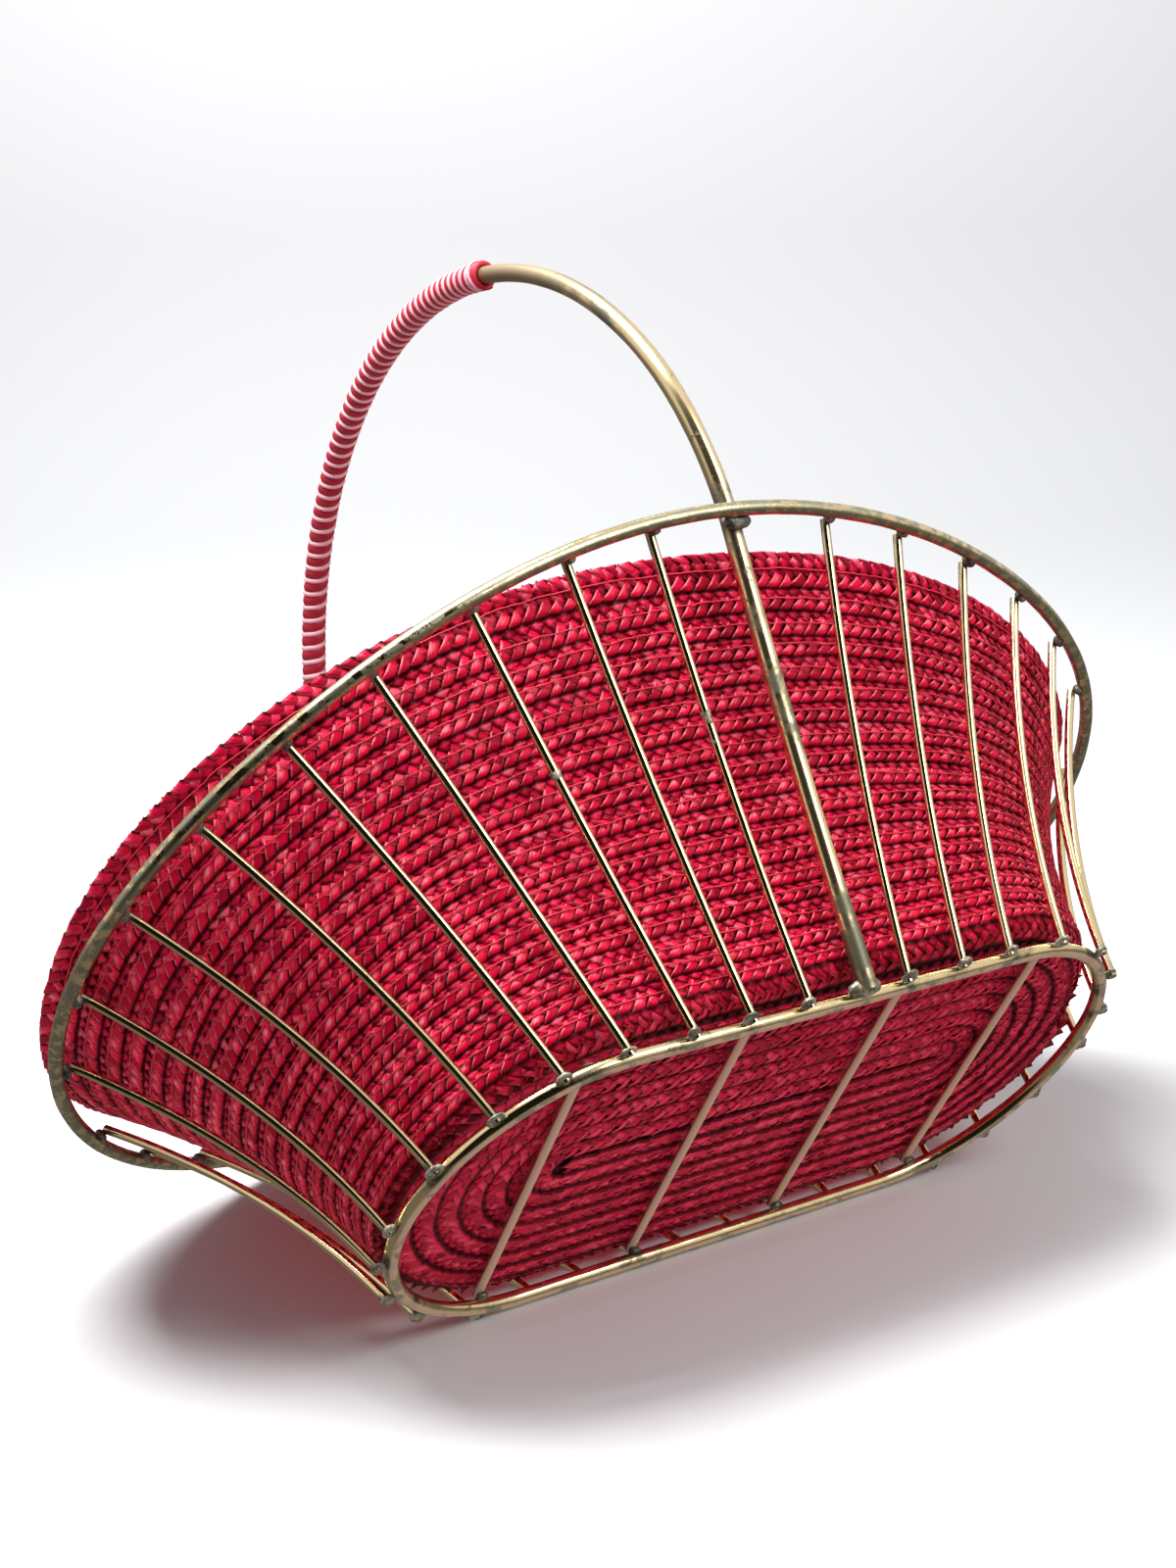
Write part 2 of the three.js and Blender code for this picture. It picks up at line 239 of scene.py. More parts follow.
def metres(lengths):
    return np.asarray(lengths, float) * 0.001


def ways_along(line):
    """How far along a line each of its points lies."""
    return np.concatenate([[0.0], np.cumsum(np.linalg.norm(np.diff(line, axis=0), axis=1))])


def places_on(line, ways, wanted):
    """The places on a line at the wanted ways along it."""
    return np.stack([np.interp(wanted, ways, line[:, k]) for k in range(3)], axis=-1)


def even(line, count):
    """The same line with its points spread evenly."""
    ways = ways_along(line)
    return places_on(line, ways, np.linspace(0, ways[-1], count))


def corner_radius(diameter, sides):
    """The corner radius of the CAD wire's section, which sets where every wire is seated."""
    return diameter / 2 * math.sqrt(2 * math.pi / (sides * math.sin(2 * math.pi / sides)))


RING_CENTRE = corner_radius(RING_WIRE, WIRE_SIDES) * math.cos(math.pi / WIRE_SIDES)
RIM_CENTRE = RING_CENTRE + RIM_HEIGHT
CROSS_CENTRE = RING_CENTRE + RING_WIRE / 2 + SEAT + CROSS_WIRE / 2
LINER_UNDERSIDE = CROSS_CENTRE + CROSS_WIRE / 2 + SEAT


class Loop:
    """A closed line, walked by shares of its length from its +X tip and counterclockwise."""

    def __init__(self, points):
        self.points = np.vstack([points, points[:1]])
        self.ways = ways_along(self.points)

    def at(self, share):
        return places_on(self.points, self.ways, np.mod(np.asarray(share, float), 1.0) * self.ways[-1])

    def along(self, share):
        small = 1e-4
        return unit(self.at(np.asarray(share) + small) - self.at(np.asarray(share) - small))

    def outwards(self, share):
        t = self.along(share)
        return unit(np.stack([t[..., 1], -t[..., 0], np.zeros_like(t[..., 0])], axis=-1))


def stadium_points(straight, half_width, height):
    """An oval with straight sides and half-round ends, from its +X tip and counterclockwise."""
    right = np.linspace(-math.pi / 2, math.pi / 2, ARC_POINTS)
    tip = ARC_POINTS // 2
    arcs = []
    for centre, angles in ((straight, right[tip:]), (-straight, right + math.pi), (straight, right[:tip])):
        arcs.append(np.stack([centre + half_width * np.cos(angles), half_width * np.sin(angles),
                              np.full_like(angles, height)], axis=-1))
    return np.vstack(arcs)


def oval_points(half_length, half_width, power, shift, height_at):
    """An oval whose height depends on how far along X it is, from -1 to 1."""
    angle = np.linspace(0, 2 * math.pi, 4 * ARC_POINTS, endpoint=False)
    along, across = (np.sign(part) * np.abs(part) ** (2 / power) for part in (np.cos(angle), np.sin(angle)))
    return np.stack([half_length * along + shift, half_width * across, height_at(along)], axis=-1)


def rim_height(along):
    return RIM_CENTRE - RIM_DIP * ((1 + RIM_DIP_SWING) * along ** 2 - RIM_DIP_SWING * along ** 4)


STRAIGHT = BASE_LENGTH / 2 - BASE_WIDTH / 2
base_line = Loop(stadium_points(STRAIGHT, BASE_WIDTH / 2, RING_CENTRE))
rim_line = Loop(oval_points(RIM_LENGTH / 2, RIM_WIDTH / 2, 2, 0, rim_height))


def bow_at(x):
    return SIDE_BOW + (END_BOW - SIDE_BOW) * np.minimum(1, 2 * np.abs(x) / RIM_LENGTH) ** 2


def bowed_course(low, high, pull):
    """The four points of a cubic curve from low to high, pulled in level from its straight chord."""
    level = (low - high) * np.array([1.0, 1.0, 0.0])
    inwards = unit(level) * np.expand_dims(np.asarray(pull, float), -1)
    return np.stack([low, low + (high - low) / 3 + inwards, low + (high - low) * 2 / 3 + inwards, high])


def bezier(points, t):
    """Places on one cubic curve, or on as many curves as points holds, for heights t from 0 to 1."""
    t = np.asarray(t, float)[..., None]
    a, b, c, d = points
    return (1 - t) ** 3 * a + 3 * (1 - t) ** 2 * t * b + 3 * (1 - t) * t ** 2 * c + t ** 3 * d


def upright_course(foot_share, top_share, radius, pull):
    """An upright's course from outside the base ring to inside the rim, seated by its own slant."""
    def slant(way, normal):
        return math.sqrt(1 - float(np.dot(unit(way), normal)) ** 2)

    foot_out = base_line.outwards(foot_share)
    top_out = rim_line.outwards(top_share)
    foot_seat = corner_radius(RING_WIRE, WIRE_SIDES) + radius + SEAT
    top_seat = corner_radius(RIM_WIRE, WIRE_SIDES) + radius + SEAT
    foot_slant = top_slant = 1
    for _ in range(COURSE_PASSES):
        course = bowed_course(base_line.at(foot_share) + foot_out * foot_seat / foot_slant,
                              rim_line.at(top_share) - top_out * top_seat / top_slant, pull)
        foot_slant = slant(course[1] - course[0], foot_out)
        top_slant = slant(course[3] - course[2], top_out)
    return course


def carried_on(place, way, height):
    """Where a straight line from a place comes to a height."""
    way = unit(way)
    return place + way * (height - place[2]) / way[2]


def upright_line(course, low, high):
    """An upright's centre line, carried on straight to its cut ends at the heights low and high."""
    foot = carried_on(course[0], course[1] - course[0], low)
    top = carried_on(course[3], course[3] - course[2], high)
    return even(np.vstack([foot, bezier(course, np.linspace(0, 1, STAVE_STEPS)), top]), STAVE_STEPS)


def handle_parts():
    """One side of the handle: the leg up to the rim, then out to the widest point and over to the top."""
    foot, top = (NEAR_LEG + HALF_TURN * (1 + shares[0]) for shares in (UPRIGHT_FEET, UPRIGHT_TOPS))
    leg = upright_course(foot, top, corner_radius(HANDLE_ROD, WIRE_SIDES), LEG_BOW)
    crossing = leg[3]
    widest = np.array([0, crossing[1] + HANDLE_BULGE, RIM_CENTRE + HANDLE_WIDEST_ABOVE_RIM])
    apex = np.array([0, 0, widest[2] + HANDLE_RISE])
    shoulder = np.linalg.norm(widest - crossing) / 3
    bulge = np.stack([crossing, crossing + unit(leg[3] - leg[2]) * shoulder, widest - UP * shoulder, widest])
    arch = np.stack([widest, widest + UP * QUARTER * HANDLE_RISE,
                     np.array([0, QUARTER * widest[1], apex[2]]), apex])
    return leg, bulge, arch


def handle_line(leg, bulge, arch):
    """The handle's centre line: one side from its cut foot, then the same turned half round."""
    t = np.linspace(0, 1, HANDLE_STEPS)
    foot = carried_on(leg[0], leg[1] - leg[0], FOOT_CLEARANCE)
    side = np.vstack([foot, bezier(leg, t), bezier(bulge, t)[1:], bezier(arch, t)[1:]])
    return even(np.vstack([side, (side * HALF_TURNED)[::-1][1:]]), HANDLE_STEPS)


# Meshes
def placed(name, data):
    """A new object of the scene, at the origin."""
    piece = bpy.data.objects.new(name, data)
    bpy.context.scene.collection.objects.link(piece)
    return piece


def new_mesh(name, points, faces=(), edges=()):
    mesh = bpy.data.meshes.new(name)
    mesh.from_pydata(metres(points).tolist(), edges, faces)
    mesh.update()
    if faces:
        mesh.shade_smooth()
    return placed(name, mesh)


def set_numbers(mesh, name, values):
    """Stores a number or a vector for each point of a mesh under a plain name."""
    kind, field = ("FLOAT_VECTOR", "vector") if np.ndim(values) == 2 else ("FLOAT", "value")
    mesh.attributes.new(name, kind, "POINT").data.foreach_set(field, np.asarray(values, np.float32).ravel())


def guide(name, lines, closed, **numbers):
    """Lines of points joined into one mesh of edges, with numbers or vectors stored on their points."""
    edges, start = [], 0
    for line in lines:
        count = len(line)
        edges += [(start + i, start + (i + 1) % count) for i in range(count if closed else count - 1)]
        start += count
    piece = new_mesh(name + "_guide", np.vstack(lines), edges=edges)
    for key, values in numbers.items():
        set_numbers(piece.data, key, np.concatenate(values))
    return piece


def recalculate(mesh):
    """Turns every face of a closed mesh outwards."""
    work = bmesh.new()
    work.from_mesh(mesh)
    bmesh.ops.recalc_face_normals(work, faces=work.faces)
    work.to_mesh(mesh)
    work.free()


def skin(name, rings, material):
    """A closed mesh over rings of points, capped at both ends."""
    count, around = rings.shape[:2]
    faces = [(i * around + j, i * around + (j + 1) % around, (i + 1) * around + (j + 1) % around,
              (i + 1) * around + j) for i in range(count - 1) for j in range(around)]
    faces += [tuple(range(around))[::-1], tuple((count - 1) * around + j for j in range(around))]
    piece = new_mesh(name, rings.reshape(-1, 3), faces)
    piece.data.materials.append(material)
    recalculate(piece.data)
    return piece


def baked(name, source, group, smooth=True, **values):
    """The result of a node group on a source, as a plain mesh of its own at the origin."""
    modifier = source.modifiers.new("shape", "NODES")
    modifier.node_group = group
    for item in group.interface.items_tree:
        if item.in_out == "INPUT" and item.name in values:
            modifier[item.identifier] = values[item.name]
    source.update_tag()
    graph = bpy.context.evaluated_depsgraph_get()
    mesh = bpy.data.meshes.new_from_object(source.evaluated_get(graph), preserve_all_data_layers=True,
                                           depsgraph=graph)
    mesh.name = name
    bpy.data.objects.remove(source)
    if smooth:
        mesh.shade_smooth()
    return placed(name, mesh)


# Nodes
class Nodes:
    """A node tree being drawn up. Each call adds a node and hands back one of its outputs."""

    def __init__(self, tree):
        self.tree = tree

    def join(self, value, socket):
        """Links an output to a socket, or gives the socket a value."""
        if isinstance(value, bpy.types.NodeSocket):
            self.tree.links.new(value, socket)
        else:
            socket.default_value = (*value, 1.0) if socket.type == "RGBA" else value

    def add(self, kind, inputs=None, output=0, **settings):
        node = self.tree.nodes.new(kind)
        for key, value in settings.items():
            setattr(node, key, value)
        for key, value in (inputs or {}).items():
            self.join(value, node.inputs[key])
        return node.outputs[output]

    def calc(self, operation, *values):
        return self.add("ShaderNodeMath", dict(enumerate(values)), operation=operation)

    def most(self, value, *others):
        for other in others:
            value = self.calc("MAXIMUM", value, other)
        return value

    def ramp(self, value, low, high, bottom=0.0, top=1.0, kind="LINEAR"):
        """A number that goes from its bottom to its top as the value goes from low to high."""
        inputs = {"Value": value, "From Min": low, "From Max": high, "To Min": bottom, "To Max": top}
        return self.add("ShaderNodeMapRange", inputs, interpolation_type=kind)

    def ease(self, value, low, high, top=1.0):
        """The same from 0, with soft ends."""
        return self.ramp(value, low, high, 0.0, top, "SMOOTHSTEP")

    def vector(self, operation, first, second):
        return self.add("ShaderNodeVectorMath", {0: first, 1: second}, "Value", operation=operation)

    def combined(self, *values):
        return self.add("ShaderNodeCombineXYZ", dict(enumerate(values)))

    def split(self, vector, *axes):
        node = self.add("ShaderNodeSeparateXYZ", {"Vector": vector}).node
        return [node.outputs[axis] for axis in axes]

    def noise(self, **inputs):
        return self.add("ShaderNodeTexNoise", inputs)

    def blend(self, factor, first, second):
        return self.add("ShaderNodeMix", {0: factor, 6: first, 7: second}, 2, data_type="RGBA")

    def colours(self, factor, stops):
        """A colour ramp whose stops are (place, colour)."""
        result = self.add("ShaderNodeValToRGB", {"Fac": factor})
        elements = result.node.color_ramp.elements
        while len(elements) < len(stops):
            elements.new(0.5)
        for element, (place, colour) in zip(elements, stops):
            element.position = place
            element.color = (*colour, 1.0)
        return result

    def attributes(self, *names):
        return [self.add("ShaderNodeAttribute", output="Fac", attribute_name=name) for name in names]

    def place(self):
        return self.add("ShaderNodeTexCoord", output="Object")

    def read(self, name, kind="FLOAT"):
        return self.add("GeometryNodeInputNamedAttribute", {"Name": name}, data_type=kind)

    def store(self, geometry, name, value, **settings):
        inputs = {"Geometry": geometry, "Name": name, "Value": value}
        return self.add("GeometryNodeStoreNamedAttribute", inputs, **settings)

    def on_points(self, points, instance, rotation, scale):
        return self.add("GeometryNodeInstanceOnPoints",
                        {"Points": points, "Instance": instance, "Rotation": rotation, "Scale": scale})

    def turned(self):
        """The turn of a piece that lies on a point, from its stored directions."""
        return self.add("FunctionNodeAxesToRotation", {"Primary Axis": self.read("outward", "FLOAT_VECTOR"),
                                                       "Secondary Axis": self.read("along", "FLOAT_VECTOR")},
                        primary_axis="Z", secondary_axis="X")

    def realized(self, geometry):
        return self.add("GeometryNodeRealizeInstances", {"Geometry": geometry})

    def dressed(self, geometry, material):
        inputs = {"Geometry": self.realized(geometry), "Material": material}
        return self.add("GeometryNodeSetMaterial", inputs)

    def roughened(self, geometry, material, depth, middle, **noise):
        """A geometry pushed in and out by noise, smooth and with its material."""
        off = self.calc("MULTIPLY", self.calc("SUBTRACT", self.noise(**noise), middle), depth)
        push = self.add("ShaderNodeVectorMath", {0: self.add("GeometryNodeInputNormal"), "Scale": off},
                        operation="SCALE")
        moved = self.add("GeometryNodeSetPosition", {"Geometry": geometry, "Offset": push})
        return self.dressed(self.add("GeometryNodeSetShadeSmooth", {"Geometry": moved}), material)


def new_group(name, family, output, **inputs):
    """A node group with one output: its nodes, its input sockets by name and its output socket."""
    tree = bpy.data.node_groups.new(name, family + "NodeTree")
    for label, kind in inputs.items():
        tree.interface.new_socket(name=label, in_out="INPUT", socket_type="NodeSocket" + kind)
    tree.interface.new_socket(name=output, in_out="OUTPUT", socket_type="NodeSocket" + output)
    return Nodes(tree), tree.nodes.new("NodeGroupInput").outputs, tree.nodes.new("NodeGroupOutput").inputs[0]


def wire_group():
    """A slightly uneven round wire along a guide, which keeps how far along and around its points are."""
    net, given, end = new_group("wire", "Geometry", "Geometry", Geometry="Geometry", radius="Float",
                                sides="Int", unevenness="Float", material="Material")
    curve = net.add("GeometryNodeMeshToCurve", {"Mesh": given["Geometry"]})
    kept = net.store(curve, "along_wire", net.add("GeometryNodeSplineParameter", output="Length"))
    circle = net.add("GeometryNodeCurvePrimitiveCircle",
                     {"Resolution": given["sides"], "Radius": given["radius"]})
    profile = net.store(circle, "around_wire", net.add("GeometryNodeSplineParameter", output="Factor"))
    swept = net.add("GeometryNodeCurveToMesh", {"Curve": kept, "Profile Curve": profile, "Fill Caps": True})
    net.join(net.roughened(swept, given["material"], given["unevenness"], 0.5, Scale=90.0, Detail=2.0), end)
    return net.tree


def solder_group():
    """Lumps of solder on points, each turned to its joint, sized by it and roughened."""
    net, given, end = new_group("solder", "Geometry", "Geometry", Geometry="Geometry", material="Material")
    lump = net.add("GeometryNodeMeshIcoSphere", {"Radius": 1.0, "Subdivisions": 4})
    beads = net.on_points(given["Geometry"], lump, net.turned(), net.read("size", "FLOAT_VECTOR"))
    net.join(net.roughened(net.realized(beads), given["material"], SOLDER_PLAY, 0.55, Scale=SOLDER_GRAIN,
                           Detail=3.0, Roughness=0.55), end)
    return net.tree


def plait_group():
    """Straws laid on points: one crossing of the plait at each."""
    net, given, end = new_group("plait", "Geometry", "Geometry", Geometry="Geometry", straw="Object",
                                size_play="Float", seed="Int", material="Material")

    def chosen(low, high, shift):
        seed = net.calc("ADD", given["seed"], float(shift))
        return net.add("FunctionNodeRandomValue", {2: low, 3: high, "Seed": seed}, 1)

    def sized(name, shift):
        play = given["size_play"]
        factor = net.calc("ADD", chosen(net.calc("MULTIPLY", play, -1.0), play, shift), 1.0)
        return net.calc("MULTIPLY", net.read(name), factor)

    straw = net.add("GeometryNodeObjectInfo", {"Object": given["straw"]}, "Geometry")
    loose = net.combined(chosen(-TILT_PLAY, TILT_PLAY, 1), chosen(-TILT_PLAY, TILT_PLAY, 2),
                         chosen(-TURN_PLAY, TURN_PLAY, 3))
    turn = net.add("FunctionNodeRotateRotation", {"Rotation": net.turned(), "Rotate By": loose},
                   rotation_space="LOCAL")
    scale = net.combined(sized("pitch", 4), sized("height", 5), sized("crown", 6))
    laid = net.on_points(given["Geometry"], straw, turn, scale)
    toned = net.store(laid, "tone", chosen(0.0, 1.0, 7), domain="INSTANCE")
    net.join(net.dressed(toned, given["material"]), end)
    return net.tree


def blotch_group():
    """Soft-edged patches: a mask from 0 to 1 that covers more of the surface as Cover goes up."""
    net, given, end = new_group("blotches", "Shader", "Float", Vector="Vector", Scale="Float", Cover="Float",
                                Edge="Float")
    noise = net.noise(Vector=given["Vector"], Scale=given["Scale"], Detail=5.0, Roughness=0.62)
    low = net.calc("SUBTRACT", 0.78, given["Cover"])
    net.join(net.ease(noise, low, net.calc("ADD", low, given["Edge"])), end)
    return net.tree


def streak_group():
    """Fine lines that run one way over a surface, for drawn wire and for straw."""
    net, given, end = new_group("streaks", "Shader", "Float", Across="Float", Along="Float", Shift="Float",
                                Fineness="Float", Length="Float")
    place = net.combined(net.calc("MULTIPLY", given["Across"], given["Fineness"]),
                         net.calc("MULTIPLY", given["Along"], given["Length"]),
                         net.calc("MULTIPLY", given["Shift"], 37.0))
    net.join(net.noise(Vector=place, Scale=1.0, Detail=3.0), end)
    return net.tree


wires = wire_group()
lumps = solder_group()
plait = plait_group()
blotches = blotch_group()
streaks = streak_group()


# Materials
def new_material(name):
    material = bpy.data.materials.new(name)
    material.use_nodes = True
    return material, Nodes(material.node_tree)


def patches(net, place, scale, cover, edge):
    inputs = {"Vector": place, "Scale": scale, "Cover": cover, "Edge": edge}
    return net.add("ShaderNodeGroup", inputs, node_tree=blotches)


def fine_lines(net, across, along, fineness, length, shift=0.0):
    inputs = {"Across": across, "Along": along, "Shift": shift, "Fineness": fineness, "Length": length}
    return net.add("ShaderNodeGroup", inputs, node_tree=streaks)


def surface(net, colour, roughness, height, strength, depth, metallic=0.0, gloss=0.5):
    """Sets what a material's surface is like, with a bump that follows a height."""
    bump = net.add("ShaderNodeBump", {"Height": height, "Strength": strength, "Distance": depth})
    shader = net.tree.nodes["Principled BSDF"]
    for key, value in (("Base Color", colour), ("Roughness", roughness), ("Metallic", metallic),
                       ("Specular IOR Level", gloss), ("Normal", bump)):
        net.join(value, shader.inputs[key])


LIGHT_BRASS = (0.88, 0.72, 0.42)
DEEP_BRASS = (0.72, 0.54, 0.28)
ROSY_BRASS = (0.78, 0.56, 0.40)
AGED_BRASS = (0.30, 0.29, 0.21)
ROD_AGED = (0.20, 0.19, 0.13)
DARK_AGED = (0.10, 0.105, 0.07)
RIM_AGED = (0.36, 0.335, 0.225)
MATT_BROWN = (0.40, 0.31, 0.20)
SOOT = (0.15, 0.145, 0.11)
RUBBED_TAN = (0.66, 0.42, 0.28)
RUBBED_GREY = (0.22, 0.20, 0.14)


def brass_material(name, polish, wear, copper, wear_and_highlight=0.0, rub_from=-0.35, aged_to=AGED_BRASS, greyed=0.27,
                   stains=55.0):
    """Brass plating: bright where it is clean, olive and dull where it is tarnished or near solder, and
    worn to a pinkish tan on the side that rubs on the table."""
    material, net = new_material(name)
    place = net.place()
    joint, around, along, old = net.attributes("near_joint", "around_wire", "along_wire", "tarnish")
    lines = fine_lines(net, around, along, 26.0, 260.0)
    spots = net.most(patches(net, place, stains, wear, 0.12), patches(net, place, 420.0, wear * 0.55, 0.05))
    dull = net.most(net.calc("MULTIPLY", joint, patches(net, place, 230.0, 0.36, 0.2)),
                    net.ramp(joint, 0.55, 1.0))
    normal = net.add("ShaderNodeNewGeometry", output="Normal")
    under = net.ease(net.split(normal, "Z")[0], rub_from, rub_from - 0.22, wear_and_highlight)
    worn = net.blend(patches(net, place, 120.0, greyed, 0.08), RUBBED_TAN, RUBBED_GREY)
    colour = net.blend(lines, LIGHT_BRASS, DEEP_BRASS)
    for mask, other in ((patches(net, place, 24.0, copper, 0.14), ROSY_BRASS), (spots, aged_to),
                        (old, MATT_BROWN), (dull, SOOT), (under, worn)):
        colour = net.blend(mask, colour, other)
    rough = net.ramp(net.most(dull, spots, under, old), 0.0, 1.0, polish, polish + 0.28)
    metal = net.calc("SUBTRACT", 1.0, net.calc("MULTIPLY", under, 0.8))
    height = net.calc("MULTIPLY_ADD", spots, 0.5, net.calc("MULTIPLY", lines, 0.35))
    surface(net, colour, rough, height, 0.25, 0.0001, metal)
    return material


def solder_material(name, light, dark, rough, metal):
    """Dull grey-green solder with darker flux in its hollows."""
    material, net = new_material(name)
    place = net.place()
    grains = net.noise(Vector=place, Scale=1400.0, Detail=4.0)
    colour = net.blend(patches(net, place, 380.0, 0.4, 0.22), light, dark)
    surface(net, colour, net.ramp(grains, 0.0, 1.0, rough - 0.12, rough + 0.15), grains, 0.6, 0.0003, metal)
    return material


def cord_material(name, base, deep, rough):
    """Glossy cord with fine lengthwise strands."""
    material, net = new_material(name)
    lines = fine_lines(net, *net.attributes("around_wire", "along_wire"), 14.0, 90.0)
    colour = net.blend(lines, base, deep)
    surface(net, colour, net.ramp(lines, 0.0, 1.0, rough, rough + 0.2), lines, 0.3, 0.0002)
    return material


# Painted light on the straw: the red of a painted highlight along each straw's left edge, the red of a
# painted highlight on its crown and where on the straw that sits, and how much of its darkest tone is left in
# the painted shade of its crevices.
LIT_EDGE_RED = (1.0, 0.18, 0.24)
CREST_HIGHLIGHT_RED = (1.0, 0.34, 0.40)
HIGHLIGHT_AT = (0.30, 0.58, 0.0)
CREVICE_SHADE = 0.12


def straw_material(name, tones, rough, ends, tucked, groove, heel, lit=0.0, crest_highlight=0.0):
    """Dyed straw: every piece has its own tone, with fibres along it and a soft gloss.

    ends and tucked say where painted shade darkens it at both its ends and at its right side, where it
    goes under others: the places where that starts and is full, from its middle, and how dark it gets.
    groove and heel say the same of the painted shade at the row's upper and lower border. lit is how pale
    the painted highlight along its left edge is, and the last how pale the painted highlight on its crown."""
    material, net = new_material(name)
    dark = tones[0][1]
    tone = net.attributes("tone")[0]
    fibre = net.add("ShaderNodeUVMap", uv_map="fibre")
    across, along = net.split(fibre, "X", "Y")
    row = net.split(net.add("ShaderNodeUVMap", uv_map="row"), "Y")[0]
    lines = fine_lines(net, across, along, 11.0, 1.3, tone)

    def beyond(value, low, high, top):
        """A mask that rises as a place on the straw nears its border."""
        return net.ease(net.calc("SUBTRACT", value, 0.5), low, high, top)

    # Painted shade where the straw goes under others: at its ends, its right side and the row's borders.
    start, full, most = ends
    painted_crevice_shade = net.most(beyond(along, start, full, most), beyond(along, -start, -full, most),
                      beyond(across, *tucked), beyond(row, *groove), beyond(row, *heel))
    # A painted highlight on each straw's crown, on the paler straws and along their fibres.
    crown = net.ease(net.vector("DISTANCE", fibre, HIGHLIGHT_AT), 0.32, 0.06)
    highlight_spot = net.calc("MULTIPLY", crown, net.ramp(tone, 0.35, 1.0, top=crest_highlight))
    wear_and_highlight = net.calc("MULTIPLY", highlight_spot, net.ramp(lines, 0.36, 0.56))
    faded = net.calc("MULTIPLY", patches(net, net.place(), 26.0, 0.36, 0.3), 0.3)
    colour = net.colours(tone, tones)
    # In turn: fibre streaks, the painted crown highlight, the painted highlight along the left edge, the
    # painted shade of the crevices, and faded patches.
    for mask, other in ((net.ramp(lines, 0.45, 0.75, top=0.7), dark), (wear_and_highlight, CREST_HIGHLIGHT_RED),
                        (beyond(across, -0.34, -0.44, lit), LIT_EDGE_RED),
                        (painted_crevice_shade, tuple(CREVICE_SHADE * c for c in dark)), (faded, dark)):
        colour = net.blend(mask, colour, other)
    rough = net.ramp(lines, 0.0, 1.0, rough - 0.08, rough + 0.14)
    surface(net, colour, rough, lines, 0.5, 0.0003, gloss=0.12)
    return material


wire_brass = brass_material("wire_brass", 0.06, 0.18, 0.10)
rim_brass = brass_material("rim_brass", 0.09, 0.36, 0.10, aged_to=RIM_AGED, stains=340.0)
foot_brass = brass_material("foot_brass", 0.10, 0.26, 0.16, 0.85, -0.72, DARK_AGED)
rod_brass = brass_material("rod_brass", 0.22, 0.28, 0.14, aged_to=ROD_AGED)
cross_brass = brass_material("cross_brass", 0.34, 0.16, 0.42, 1.0, -0.05, greyed=0.10)
joint_solder = solder_material("joint_solder", (0.46, 0.41, 0.31), (0.13, 0.12, 0.085), 0.36, 0.5)
dark_solder = solder_material("dark_solder", (0.22, 0.21, 0.17), (0.06, 0.06, 0.05), 0.45, 0.6)
sewing_thread = cord_material("sewing_thread", (0.84, 0.02, 0.07), (0.50, 0.004, 0.03), 0.5)
red_cord = cord_material("red_cord", (0.50, 0.006, 0.03), (0.30, 0.003, 0.018), 0.38)
end_cord = cord_material("end_cord", (0.66, 0.008, 0.035), (0.42, 0.003, 0.02), 0.35)
pale_cord = cord_material("pale_cord", (0.92, 0.52, 0.56), (0.78, 0.30, 0.36), 0.4)

# Straw tones from dark to pale. The palest stops of HAZY_TONES and LEFT_TONES are partly pale flecks in the
# straw and partly a painted sheen that stands for glints. LEFT_TONES also runs darker than RED_TONES, as
# painted shade on the straws that use it.
RED_TONES = ((0.0, (0.38, 0.0006, 0.020)), (0.35, (0.72, 0.0012, 0.040)), (1.0, (1.0, 0.008, 0.060)))
HAZY_TONES = ((0.0, (0.36, 0.0008, 0.022)), (0.40, (0.70, 0.003, 0.048)), (0.82, (0.98, 0.030, 0.095)),
              (1.0, (1.0, 0.12, 0.18)))
LEFT_TONES = ((0.0, (0.30, 0.0005, 0.018)), (0.5, (0.60, 0.002, 0.040)), (0.9, (0.86, 0.010, 0.065)),
              (1.0, (0.98, 0.10, 0.16)))
UNDER_TONES = ((0.0, (0.42, 0.0008, 0.024)), (0.6, (0.72, 0.003, 0.048)), (1.0, (0.92, 0.022, 0.085)))
INSIDE_TONES = ((0.0, (0.28, 0.002, 0.014)), (0.6, (0.52, 0.006, 0.03)), (1.0, (0.66, 0.02, 0.05)))
# The sheet under the straws is near-black: painted shade for the gaps between them.
SHADE_SHEET_TONES = ((0.0, (0.040, 0.0006, 0.004)), (1.0, (0.064, 0.0010, 0.006)))
